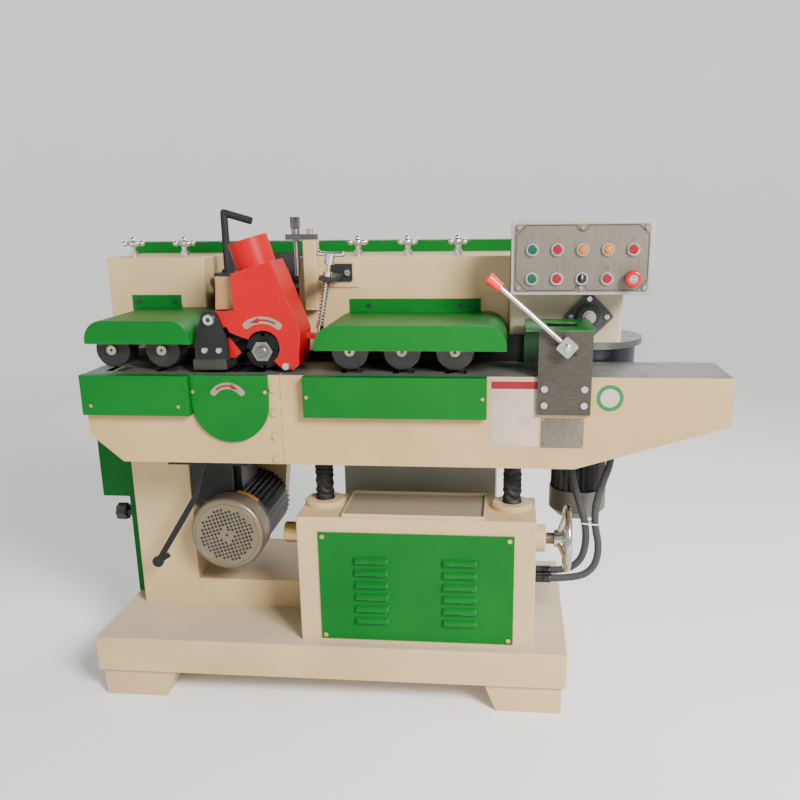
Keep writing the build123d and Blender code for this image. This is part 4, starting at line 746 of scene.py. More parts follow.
def row_growth(finish):
    """One shape repeated in columns and rows, in the XZ plane."""
    g = Growth("columns_and_rows", Columns="Int", Rows="Int", Width="Float", Height="Float")
    net = {"Vertices X": "Columns", "Vertices Y": "Rows", "Size X": "Width", "Size Y": "Height"}
    grid = g.add("MeshGrid", {name: g.size[key] for name, key in net.items()})
    stood = g.add("Transform", {"Geometry": grid, "Rotation": (math.pi / 2, 0, 0)})
    g.end(g.add("InstanceOnPoints", {"Points": stood, "Instance": g.size["Geometry"]}), finish)
    return g


# Stage

CAMERA_SPOT = (272.4, -2079.5, 1318.9)
CAMERA_ANGLES = (6.0, 16.4, -0.7)
CAMERA_SHIFT = (-0.0239, 0.076)
SENSOR_WIDTH = 36.0
LIGHT_AIM = Vector((0, 0, 0.7))
LIGHTS = (
    ("key_light", "key", (2.75, -3.5, 3.3), 1.5),
    ("fill_light", "fill", (-3.2, -2.2, 1.9), 2.6),
    ("back_light", "rim", (0.6, 2.4, 3.2), 2.4),
)
ROOM_COLOUR = (0.88, 0.95, 1.0, 1.0)


class STICKMACHINE_OT_stage(bpy.types.Operator):
    """Camera at the photograph's view, soft lights and a pale round backdrop"""

    bl_idname = "stickmachine.stage"
    bl_label = "Stage"

    def execute(self, context):
        s = stage_settings()
        scene = context.scene
        scene.camera = self.camera(s.lens)
        scene.collection.objects.link(scene.camera)
        for name, setting, spot, size in LIGHTS:
            lamp = bpy.data.lights.new(name, "AREA")
            lamp.energy = getattr(s, setting)
            lamp.size = size
            made = bpy.data.objects.new(name, lamp)
            made.location = spot
            made.rotation_euler = (LIGHT_AIM - Vector(spot)).to_track_quat("-Z", "Y").to_euler()
            scene.collection.objects.link(made)
        scene.world = bpy.data.worlds.new("room")
        scene.world.use_nodes = True
        light = scene.world.node_tree.nodes["Background"]
        light.inputs["Color"].default_value = ROOM_COLOUR
        light.inputs["Strength"].default_value = s.sky
        stand = bpy.data.objects.new("floor", self.backdrop())
        scene.collection.objects.link(stand)
        stand.data.materials.append(material("pale_floor", self.pale, shine=0.1, glow=s.glow))
        return {"FINISHED"}

    def camera(self, lens):
        data = bpy.data.cameras.new("camera")
        data.lens = lens
        data.sensor_width = SENSOR_WIDTH
        data.shift_x, data.shift_y = CAMERA_SHIFT
        yaw, pitch, roll = [math.radians(a) for a in CAMERA_ANGLES]
        side, deep = polar(math.cos(pitch), yaw + math.pi / 2)
        ahead = Vector((side, deep, -math.sin(pitch)))
        right = Vector((*polar(1, yaw), 0))
        up = right.cross(ahead)
        level = right * math.cos(roll) + up * math.sin(roll)
        tall = up * math.cos(roll) - right * math.sin(roll)
        turn = Matrix((level, tall, -ahead)).transposed().to_4x4()
        camera = bpy.data.objects.new("camera", data)
        camera.matrix_world = Matrix.Translation(place(*CAMERA_SPOT)) @ turn
        return camera

    def backdrop(self):
        """A round floor that bends up into a wall all the way round."""
        reach, bend, top, bend_steps, steps = 7.0, 2.5, 9.0, 16, 72
        line = []
        for i in range(bend_steps + 1):
            a = math.pi / 2 * i / bend_steps
            line.append((reach - bend + bend * math.sin(a), bend - bend * math.cos(a)))
        line.append((reach, top))
        points = [(0.0, 0.0, 0.0)]
        for radius, z in line:
            points += [(*p, z) for p in circle(0, 0, radius, steps)]
        faces = [(0, 1 + j, 1 + (j + 1) % steps) for j in range(steps)]
        for a, b, c, d in quads(len(line), steps, round_columns=True):
            faces.append((1 + a, 1 + d, 1 + c, 1 + b))
        floor = bpy.data.meshes.new("floor")
        floor.from_pydata(points, [], faces)
        floor.polygons.foreach_set("use_smooth", [True] * len(floor.polygons))
        return floor

    def pale(self, c):
        cloud = noise(c, 2.0, 3.0)
        tone = mix(c, cloud, (0.90, 0.90, 0.89, 1), (0.93, 0.93, 0.92, 1))
        return Finish(tone, 0.8 + cloud * 0.1, 0.0, cloud * 0.01)


# Soft and wound pieces

ROUTE_LOW = (
    (372, 218, 326), (436, 218, 326), (480, 216, 358), (492, 213, 415),
    (487, 212, 472), (468, 232, 532), (447, 270, 594), (447, 270, 658),
)
ROUTE_HIGH = (
    (372, 190, 315), (466, 190, 315), (516, 192, 348), (526, 198, 410), (511, 207, 470),
    (515, 228, 526), (534, 252, 578), (556, 272, 632), (556, 272, 692),
)


def route_points(route):
    """Points of the smooth line through a route."""
    curve = bpy.data.curves.new("route", "CURVE")
    curve.dimensions = "3D"
    curve.resolution_u = 72
    spline = curve.splines.new("NURBS")
    spline.points.add(len(route) - 1)
    for spot, (x, y, z) in zip(spline.points, route):
        spot.co = (*place(x, y, z), 1.0)
    spline.order_u = 3
    spline.use_endpoint_u = True
    line = bpy.data.objects.new("route", curve)
    bpy.context.scene.collection.objects.link(line)
    graph = bpy.context.evaluated_depsgraph_get()
    mesh = bpy.data.meshes.new_from_object(line.evaluated_get(graph))
    points = np.array([v.co for v in mesh.vertices])
    bpy.data.meshes.remove(mesh)
    bpy.data.objects.remove(line)
    bpy.data.curves.remove(curve)
    return points


class STICKMACHINE_OT_conduits(bpy.types.Operator):
    """Two ribbed conduits with end sleeves, and the cable tie that holds them together"""

    bl_idname = "stickmachine.conduits"
    bl_label = "Conduits"

    def execute(self, context):
        s = sizes()
        sides, low_sleeve, high_sleeve, slack = 18, 0.026, 0.024, 1e-9
        finish = named("conduit_rubber", self.rubber, shine=0.15)
        lines, sleeves, tubes = [], [], []
        for name, route in (("conduit_low", ROUTE_LOW), ("conduit_high", ROUTE_HIGH)):
            points = route_points(route)
            step = np.linalg.norm(np.diff(points, axis=0), axis=1)
            run = np.concatenate(([0.0], np.cumsum(step)))
            wave = 0.5 - 0.5 * np.cos(2 * math.pi * run / s.rib_pitch)
            radii = s.conduit_radius - s.rib_depth * (1 - wave ** 0.6)
            mesh = mesh_of([sweep(points, radii, sides)])
            tubes.append(piece_of(name, mesh, finish, "frame", sharp=60))
            lines.append(points)
            for low, high in ((0.0, low_sleeve), (run[-1] - high_sleeve, run[-1])):
                some = points[(run >= low - slack) & (run <= high + slack)]
                sleeves.append(self.sleeve(some, s.conduit_radius))
        collar = piece_of(
            "conduit_sleeves", mesh_of(sleeves), black_moulding(), "frame"
        )
        near = [points[np.argmin(abs(points[:, 2] - s.tie_height))] for points in lines]
        tie = self.tie(near, s.conduit_radius + 0.0004)
        lengths = (s.low_conduit, s.high_conduit)
        for tube, points, size, extra in zip(tubes, lines, lengths, ([collar, tie], [])):
            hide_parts("conduits")
        return {"FINISHED"}

    def rubber(self, c):
        return rubbery(c, (0.004, 0.004, 0.0043), 0.7, 0.08, 0.03)

    def sleeve(self, points, radius):
        """A smooth sleeve that thins towards its ends."""
        share = np.linspace(0, 1, len(points))
        swell = 0.0006 + 0.0022 * np.minimum(1, 5 * np.minimum(share, 1 - share) + 0.25)
        return sweep(points, radius + swell, 20)

    def tie(self, near, radius):
        """A flat strap round both conduits, with its lock."""
        thick, half, bend_steps = 0.0011, 0.0019, 12
        first, second = near
        heading = math.atan2(second[1] - first[1], second[0] - first[0])
        side = heading - math.pi / 2
        z = (first[2] + second[2]) / 2
        strap = []
        for middle, start in ((second, side), (first, heading + math.pi / 2)):
            for i in range(bend_steps + 1):
                a = start + math.pi * i / bend_steps
                inner = polar(radius, a, *middle[:2])
                outer = polar(thick, a, *inner)
                corners = ((inner, -half), (outer, -half), (outer, half), (inner, half))
                strap += [(*p, z + up) for p, up in corners]
        middle = (first + second) / 2
        lock = [
            (*polar(out, side, *polar(along, heading, *middle[:2])), z + up)
            for along in (-0.003, 0.003)
            for out in (radius - 0.0002, radius + 0.0042)
            for up in (-0.0028, 0.0028)
        ]
        box = [(0, 1, 3, 2), (4, 5, 7, 6), (0, 1, 5, 4), (2, 3, 7, 6), (0, 2, 6, 4), (1, 3, 7, 5)]
        mesh = mesh_of([(strap, quads(len(strap) // 4, 4, True, True)), (lock, box)])
        finish = named("white_nylon", lambda c: moulded(c, (0.78, 0.77, 0.73), 0.4))
        return piece_of("cable_tie", mesh, finish, "frame")


class STICKMACHINE_OT_boots(bpy.types.Operator):
    """Two wrinkled rubber boots over the lift columns"""

    bl_idname = "stickmachine.boots"
    bl_label = "Boots"

    def execute(self, context):
        s = sizes()
        low, high = 0.5503, 0.676
        steps, rows = 56, 96
        turns = [2 * math.pi * j / steps for j in range(steps)]
        inner = s.boot_radius - s.boot_fold - 0.0035
        parts = []
        for number, x in enumerate((-220, 286)):
            net = []
            for share in (i / rows for i in range(rows + 1)):
                z = low + (high - low) * share
                net += [(self.reach(s, number, share, a), a, z) for a in turns]
            net += [(inner, a, z) for z in (high, low) for a in turns]
            centre = place(x, 152, 0)
            points = [centre + Vector((*polar(radius, a), z)) for radius, a, z in net]
            parts.append((points, quads(rows + 3, steps, True, True)))
        rubber = named("black_rubber", lambda c: rubbery(c, colours().rubber))
        boots = piece_of("folded_boots", mesh_of(parts), rubber, "frame", sharp=70)
        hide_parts("column_boots")
        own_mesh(boots)
        return {"FINISHED"}

    def reach(self, s, number, share, a):
        """How far a boot's skin stands out at a share of its height and an angle."""
        drift = 0.42 * math.sin(a + 1.7 * number + 3.1 * share)
        drift += 0.24 * math.sin(3 * a - 7 * share)
        uneven = 0.045 * math.sin(9.0 * share + 2.3 * number)
        folds = s.boot_folds * (share + uneven) + drift * 0.8
        fold = 0.5 - 0.5 * math.cos(2 * math.pi * folds)
        crease = math.sin(5 * a + 9 * share + number) * math.sin(31 * share + 2 * a)
        depth = s.boot_fold * (0.72 * (1 - fold ** 0.7) + 0.28 * abs(crease))
        ease = min(1.0, 14 * share, 14 * (1 - share))
        return s.boot_radius - 0.0006 - depth * ease - 0.0012 * math.sin(math.pi * share)


class STICKMACHINE_OT_spring(bpy.types.Operator):
    """Coil spring on the tension rod, in a lower length that rides on the head and an upper length
    that rides on the frame
    """

    bl_idname = "stickmachine.spring"
    bl_label = "Pressure spring"

    def execute(self, context):
        s = sizes()
        lean = math.radians(10.7)
        along = Vector((math.sin(lean), 0, math.cos(lean)))
        first = Vector((math.cos(lean), 0, -math.sin(lean)))
        second = along.cross(first)
        foot = place(-216, 140, 997)
        bottom, split, top = 0.024, 0.102, 0.136
        turn_steps = 22
        low, high = bottom + s.wire_radius, top - s.wire_radius
        flat = 2.1 * s.wire_radius
        open_turns = s.coil_turns - 2
        steps = s.coil_turns * turn_steps
        path, join = [], 0
        for i in range(steps + 1):
            turn = s.coil_turns * i / steps
            share = min(max(turn - 1, 0), open_turns) / open_turns
            ends = min(turn, 1) + max(turn - s.coil_turns + 1, 0)
            rise = low + flat * ends + (high - low - 2 * flat) * share
            across, out = polar(1, 2 * math.pi * turn)
            side = first * s.coil_radius * across
            path.append(foot + along * rise + side + second * s.coil_radius * out)
            if rise < split:
                join = i
        lower = self.coil("coil_spring", path[:join + 1], "head")
        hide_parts("pressure_spring")
        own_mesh(lower)
        upper = self.coil("coil_spring_top", path[join:], "frame")
        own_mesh(upper)
        return {"FINISHED"}

    def coil(self, name, points, body):
        finish = named("spring_steel", lambda c: plated(c, (0.33, 0.31, 0.28), 0.26))
        mesh = mesh_of([sweep(points, [sizes().wire_radius] * len(points), 10)])
        return piece_of(name, mesh, finish, body, sharp=60)


# Finishes of CAD nodes, by name: w masks places on the node and k holds the colours


def bed(c, w, k):
    top = brushed(c, (0.17, 0.175, 0.16), (14.0, 420.0, 14.0), 0.45, 0.6)
    raw = casting(c, (0.028, 0.026, 0.022))
    deep = w.box(y=(16, 226), z=(700, 913.3))
    seats = w.box(x=(-790, -330)) + w.box(x=(-170, 190))
    seam = w.box(x=(-293.5, -292.5)) * (noise(c, 60.0) > 0.44)
    paint = sheet_enamel(c, k.bed_cream)
    return zoned(c, paint, (seam, raw), (w.z > at_z(913.2), top), (deep * seats, raw))


def lift_cabinet(c, w, k):
    """Cream enamel, a darker tray floor, and yellow plate on the cross shaft's end cap."""
    cap = plated(c, (0.50, 0.36, 0.14), 0.32)
    tray = sheet_enamel(c, (0.27, 0.215, 0.145), 0.5)
    floor = w.box(x=(-152.2, 213.2), y=(38.8, 224.2), z=(TRAY_FLOOR - 0.6, TRAY_FLOOR + 6))
    return zoned(c, sheet_enamel(c, k.cream), (w.x < at_x(-276.3), cap), (floor, tray))


def base_plinth(c, w, k):
    """Cream enamel, paler and greyer on top as a painted reflection of the sky."""
    # painted light: the paler, greyer top stands for the sky reflecting on the upward faces
    sky_lit_top = sheet_enamel(c, (0.52, 0.42, 0.28))
    return zoned(c, sheet_enamel(c, k.cream, 0.38), (w.z > at_z(179.5), sky_lit_top))


def rear_frame(c, w, k):
    """Cream enamel, with a darker neutral grey painted as shade on the wall under the bed."""
    wall = w.box(x=(-199, 239), y=(329, 331), z=(262, 905))
    # painted shade: the wall under the bed gets a darker neutral grey so that it looks shaded
    painted_shade_grey = sheet_enamel(c, (0.30, 0.31, 0.27), 0.5)
    return zoned(c, sheet_enamel(c, k.cream, 0.38), (wall, painted_shade_grey))


def feed_gearmotor(c, w, k):
    """Ring, reducer, fins and cowl from the top down, and the two cable boxes."""
    ring = plated(c, (0.17, 0.165, 0.155), 0.34)
    cast = enamel(c, k.blue, 0.3)
    fins = enamel(c, k.motor_grey, 0.42)
    cowl = enamel(c, k.cowl_grey, 0.4)
    terminal = w.box(x=(400, 486), y=(240, 345), z=(655, 741))
    entry = w.box(x=(530, 582), y=(240, 335), z=(690, 749.5))
    below = [(w.z < at_z(z), other) for z, other in ((946, cast), (750, fins), (528, cowl))]
    return zoned(c, ring, *below, (terminal + entry > 0.5, fins))


def control_box(c, w, k):
    sheet = brushed(c, k.plate_grey, (700.0, 20.0, 20.0), 0.40, 0.55, 0.15)
    return zoned(c, enamel(c, (0.32, 0.305, 0.275), 0.4), (w.before(100), sheet))


def head_guide(c, w, k):
    bar = casting(c, (0.05, 0.04, 0.045))
    way = brushed(c, k.dark_steel, (14.0, 14.0, 400.0), 0.42, 0.7)
    post = enamel(c, k.cream, 0.42, 0.05)
    return zoned(c, post, (w.z > at_z(1228), bar), (w.y > at_y(300), way))


def frame_fittings(c, w, k):
    screw = plated(c, k.brass, 0.26)
    bearing = casting(c, (0.05, 0.05, 0.048), 0.45)
    bezel = plated(c, k.chrome, 0.16)
    gland = moulded(c, (0.02, 0.02, 0.021), 0.35)
    lens = moulded(c, k.lamp, 0.18)
    bolt = plated(c, (0.55, 0.54, 0.51), 0.26)
    around = {"x": (380, 570), "z": (930, 1098)}
    flange = w.box(y=(200, 252), **around)
    bolts = w.box(y=(200, 233), **around) * (1 - w.rod(BEARING_X, BEARING_Z, 36))
    panel = w.box(x=(285, 600), y=(60, 97.2), z=(1100, 1275))
    left, right = [w.rod(x, HIGH_ROW, 11.2) for x in LAMPS_X]
    upper = w.box(x=(-320, -100), y=(100, 300), z=(1100, 1290))
    return zoned(
        c, screw, (upper, bolt), (flange, bearing), (bolts, bolt), (panel, bezel),
        ((left + right) * w.before(96) > 0.5, lens),
        (w.box(x=(340, 380), z=(290, 360)), gland),
        (w.box(y=(285, 300), z=(1040, 1080)), gland),
        (w.box(x=(-910, -790), z=(380, 480)), gland),
    )


def infeed_guide(c, w, k):
    steel = brushed(c, (0.07, 0.062, 0.05), (40.0, 20.0, 260.0), 0.45, 0.7, 0.6)
    # painted shade: the guide's back wall under its roof is near-black green so that it looks
    # shaded
    painted_shade = enamel(c, (0.006, 0.035, 0.010), 0.5)
    front = w.box(y=(0, BED_FRONT), z=(800, 1024))
    under = (w.y > at_y(16)) * (w.z < at_z(1021.5))
    return zoned(c, enamel(c, k.green), (under, painted_shade), (front, steel))


def lower_motor(c, w, k):
    def near(radius):
        return w.rod(MOTOR_X, MOTOR_Z, radius)

    # painted shade: the cowl's face behind the grille holes is near black, for the dark inside of
    # the cowl
    hole = rubbery(c, (0.006, 0.006, 0.006))
    iron = casting(c, k.black)
    shell = near(110) * w.before(215.2) * (w.y > at_y(149))
    arms = w.box(y=(130, 148), z=(0, 700)) * (1 - near(108))
    hanger = w.box(y=(217, 233), z=(505, 670)) * (1 - near(104))
    return zoned(
        c, enamel(c, k.motor_grey), (w.z > at_z(664), iron), (hanger, iron),
        (shell, cowl_enamel(c, 0.3)), (near(86) * w.before(150.4), hole), (arms, iron),
    )


def table_hardware(c, w, k):
    column = brushed(c, k.dark_steel, (400.0, 400.0, 14.0), 0.32, 0.9)
    # the seam bolt heads are a darker, more worn cream: partly dirt, partly painted shade that
    # sets them off
    head = enamel(c, [0.82 * v for v in k.cream], 0.5, 0.05, 0.6)
    seam = w.box(x=(-330, -296), y=(-20, 20))
    guide = w.box(x=(335, 475), y=(-20, 4))
    zinc = plated(c, (0.58, 0.56, 0.53), 0.26)
    screw = plated(c, k.brass, 0.26)
    return zoned(c, column, (w.before(40), screw), (seam, head), (guide, zinc))


def upper_head(c, w, k):
    shoe = brushed(c, (0.065, 0.06, 0.052), (20.0, 20.0, 200.0), 0.45, 0.8, 0.5)
    pin = plated(c, (0.6, 0.58, 0.55), 0.22)
    # painted shade: the bottom of the pivot's six-sided socket is near black
    socket = rubbery(c, (0.008, 0.008, 0.008))
    return zoned(
        c, casting(c, k.black, worn=0.25),
        ((w.z < at_z(949)) * w.before(125), shoe),
        (w.rod(PIVOT_X, PIVOT_Z, 13.3) * w.before(28.05), pin),
        (w.rod(PIVOT_X, PIVOT_Z, 6.6) * w.before(20.5), socket),
    )


def handwheel(c, w, k):
    nut = brushed(c, (0.16, 0.13, 0.10), rough=0.4)
    return zoned(c, plated(c, (0.45, 0.44, 0.42), 0.16), (w.x < at_x(397.4), nut))


def upper_spindle(c, w, k):
    nut = plated(c, (0.30, 0.29, 0.275), 0.22)
    block = brushed(c, (0.022, 0.022, 0.023), (20.0, 300.0, 20.0), 0.36, 0.8)
    return zoned(c, block, (w.before(60), nut))


def infeed_lever(c, w, k):
    rod = plated(c, (0.55, 0.52, 0.47), 0.2)
    hub = brushed(c, (0.40, 0.37, 0.32), (500.0, 20.0, 30.0), 0.38, 0.9)
    grip = moulded(c, (0.78, 0.02, 0.02), 0.28)
    block = w.box(x=(372, 440), z=(957, 1025))
    return zoned(c, rod, (block, hub), (w.x < at_x(250.7), grip))


def adjusting_screw(c, w, k):
    knob = casting(c, (0.05, 0.046, 0.048))
    return zoned(c, plated(c, (0.30, 0.28, 0.27), 0.3), (w.z > at_z(1255.5), knob))


def toothed_roller(c, w, k):
    teeth = brushed(c, (0.055, 0.055, 0.052), (20.0, 300.0, 20.0), 0.40, 0.85)
    return zoned(c, teeth, (w.before(50), plated(c, (0.62, 0.56, 0.42), 0.3)))


def tyred_roller(c, w, k):
    tyre = rubbery(c, (0.014, 0.014, 0.014), 0.5)
    return zoned(c, tyre, (w.before(50), plated(c, (0.62, 0.56, 0.42), 0.3)))


ZONED = (
    bed, lift_cabinet, rear_frame, base_plinth, feed_gearmotor, control_box, head_guide,
    frame_fittings, infeed_guide, lower_motor, table_hardware, upper_head, handwheel,
    upper_spindle, infeed_lever, adjusting_screw,
)


class STICKMACHINE_OT_paint(bpy.types.Operator):
    """Finishes of the CAD nodes"""

    bl_idname = "stickmachine.paint"
    bl_label = "Finishes"

    def execute(self, context):
        infeed, outfeed = (1, 2, 3), (1, 2)
        dress(cream_paint(), "outfeed_gearbox", "infeed_gearbox", "belt_case")
        dress(green_paint(), "louvre_panel", "outfeed_roller_guard", "infeed_roller_guard")
        dress(green_paint(), "rear_cover", "side_belt_guard")
        dress(green_paint(), "outfeed_cover", "spindle_cover", "infeed_cover")
        dress(red_paint(), "cutter_hood")
        dress(black_iron(), "spring_bracket", "crank_handle")
        dress(motor_paint(), "upper_motor")
        dress(bright_plate(), "tension_rod", *[f"infeed_pressure_knob_{i}" for i in infeed])
        dress(bright_plate(), *[f"outfeed_pressure_knob_{i}" for i in outfeed])
        dress(black_moulding(), "selector_switch")
        pale = named("pale_enamel", lambda c: sheet_enamel(c, (0.50, 0.41, 0.28)))
        dress(pale, "drive_housing")
        idlers = [f"infeed_idler_{i}" for i in infeed] + [f"outfeed_idler_{i}" for i in outfeed]
        for name, colour, lines, rough, nodes in (
            ("cutter_steel", (0.035, 0.034, 0.033), 300.0, 0.4, ["lower_spindle"]),
            ("rolling_steel", (0.25, 0.24, 0.22), 700.0, 0.32, idlers),
        ):
            grain = (20.0, lines, 20.0)
            dress(named(name, lambda c: brushed(c, colour, grain, rough)), *nodes)
        for name, colour, *nodes in (
            ("red_moulding", (0.25, 0.001, 0.008), "upper_stop_button", "lower_stop_button",
             "feed_stop_button", "power_button"),
            ("green_moulding", (0.0, 0.07, 0.04), "upper_start_button", "lower_start_button"),
            ("stop_moulding", (0.42, 0.002, 0.006), "emergency_stop"),
        ):
            dress(named(name, lambda c: moulded(c, colour), coat=0.2), *nodes)
        for paint in ZONED:
            dress(self.zones(paint, "_finish"), paint.__name__)
        dress(self.zones(toothed_roller), *[f"infeed_roller_{i}" for i in infeed])
        dress(self.zones(tyred_roller), *[f"outfeed_roller_{i}" for i in outfeed])
        return {"FINISHED"}

    def zones(self, paint, ending=""):
        return material(paint.__name__ + ending, lambda c: paint(c, Where(c), colours()))


# Fine pieces


class STICKMACHINE_OT_grille(bpy.types.Operator):
    """Holed disc and bead of the lower motor's fan cowl, its end band and its bare label"""

    bl_idname = "stickmachine.grille"
    bl_label = "Cowl grille"

    def execute(self, context):
        s = sizes()
        finish = named("cowl_champagne", lambda c: cowl_enamel(c, 0.4))
        disc = holed_growth(finish).grow(
            spots_mesh(self.holes(s)),
            Radius=s.grille_radius, Hole=s.grille_hole, Sides=4, Sheet=s.grille_sheet,
        )
        stood = Matrix.Rotation(math.pi / 2, 4, "X")
        disc.transform(Matrix.Translation(place(MOTOR_X, 150, MOTOR_Z)) @ stood)
        piece_of("cowl_grille", disc, None, "table")
        around = {"axis": (0, 1, 0), "steps": 72, "closed": True}
        ring = circle(s.grille_radius * 1000, 0, 1.7, 10)
        middle = place(MOTOR_X, 149.4, MOTOR_Z)
        turned_piece("cowl_bead", ring, middle, finish, "table", "steel", sharp=80, **around)
        band = [(98.5, 0), (103.5, 0), (104.5, 1), (104.5, 21), (103.5, 22), (98.5, 22)]
        middle = place(MOTOR_X, 216, MOTOR_Z)
        turned_piece(
            "motor_end_band", band, middle, motor_paint(), "table", "grey_paint", **around
        )
        self.label()
        return {"FINISHED"}

    def holes(self, s):
        """Places of the holes: a tilted net inside the holed area, and two near the middle."""
        hub, tilt = 0.022, math.radians(17)
        reach = int(s.grille_holes / s.grille_pitch) + 1
        spots = []
        for i in range(-reach, reach + 1):
            for j in range(-reach, reach + 1):
                x, y = i * s.grille_pitch, j * s.grille_pitch
                if hub < math.hypot(x, y) < s.grille_holes:
                    across = x * math.cos(tilt) - y * math.sin(tilt)
                    spots.append((across, x * math.sin(tilt) + y * math.cos(tilt), 0))
        return spots + [(0.0, 0.0, 0.0), (0.006, 0.016, 0.0)]

    def label(self):
        """A bare orange film bent round the end band."""
        steps, start, sweep_angle = 14, 46, 36
        section = ((104.3, 218), (105.0, 218), (105.0, 236), (104.3, 236))
        points = []
        for i in range(steps + 1):
            a = math.radians(start + sweep_angle * i / steps)
            for radius, y in section:
                x, z = polar(radius, a, MOTOR_X, MOTOR_Z)
                points.append(place(x, y, z))
        faces = quads(steps + 1, 4, round_columns=True)
        faces += [(0, 1, 2, 3), tuple(steps * 4 + j for j in range(4))]
        film = named("orange_film", lambda c: paper(c, (0.55, 0.20, 0.02)))
        piece_of("bare_motor_label", mesh_of([(points, faces)]), film, "table")


class STICKMACHINE_OT_louvres(bpy.types.Operator):
    """Pressed louvres with round ends on the cabinet's panel"""

    bl_idname = "stickmachine.louvres"
    bl_label = "Louvres"

    def execute(self, context):
        half, bulge, top, low, turn, sunk = 47.5, 11.0, 8.2, -7.5, 7.5, 0.3
        sections, rows = 24, 12
        points = []
        for i in range(sections + 1):
            t = -1 + 2 * i / sections
            x = half * math.copysign(abs(t) ** 0.6, t)
            end = max(0.0, (abs(x) - half + turn) / turn)
            share = math.sqrt(max(0.0, 1 - end * end))
            tall = 0.62 + 0.38 * share
            for j in range(rows + 1):
                u = j / rows
                out = bulge * share * math.sin(math.pi * 0.5 * min(1.0, u * 1.18)) ** 0.9
                points.append(Vector((x, -out + sunk, (top + (low - top) * u) * tall)) / 1000)
            points.append(Vector((x, sunk, low * tall)) / 1000)
        seed = mesh_of([(points, quads(sections + 1, rows + 2))])
        growth = row_growth(green_paint())
        mesh = growth.grow(seed, Columns=2, Rows=6, Width=0.233, Height=0.172)
        mesh.transform(Matrix.Translation(place(37.5, 29, 336)))
        piece_of("louvre_hoods", mesh, None, "frame", sharp=50)
        return {"FINISHED"}


class STICKMACHINE_OT_roller_caps(bpy.types.Operator):
    """Bush rings with a centre hole on the ends of the feed rollers"""

    bl_idname = "stickmachine.roller_caps"
    bl_label = "Roller caps"

    def execute(self, context):
        profile = [
            (0, 0.2), (3.4, 0.2), (3.6, 2.2), (5, 3), (9.8, 3), (10.2, 2.2), (10.8, 2.2),
            (11.2, 2.8), (12.4, 2.6), (12.9, 1.8), (12.9, -0.4), (0, -0.4),
        ]
        for side, rollers_x in (("infeed", (-120, 10, 140)), ("outfeed", (-731, -600))):
            for number, x in enumerate(rollers_x, 1):
                turned_piece(
                    f"{side}_roller_cap_{number}", profile, place(x, 44, ROLLER_Z),
                    named("bush_plate", self.bush), f"{side}_roller_{number}", "steel",
                )
        return {"FINISHED"}

    def bush(self, c):
        face = plated(c, (0.58, 0.49, 0.33), 0.34)
        # painted shade: the bottom of the centre hole and the back of the rim are near black
        return zoned(c, face, (Where(c).y > at_y(42.9), casting(c, (0.012, 0.012, 0.011))))


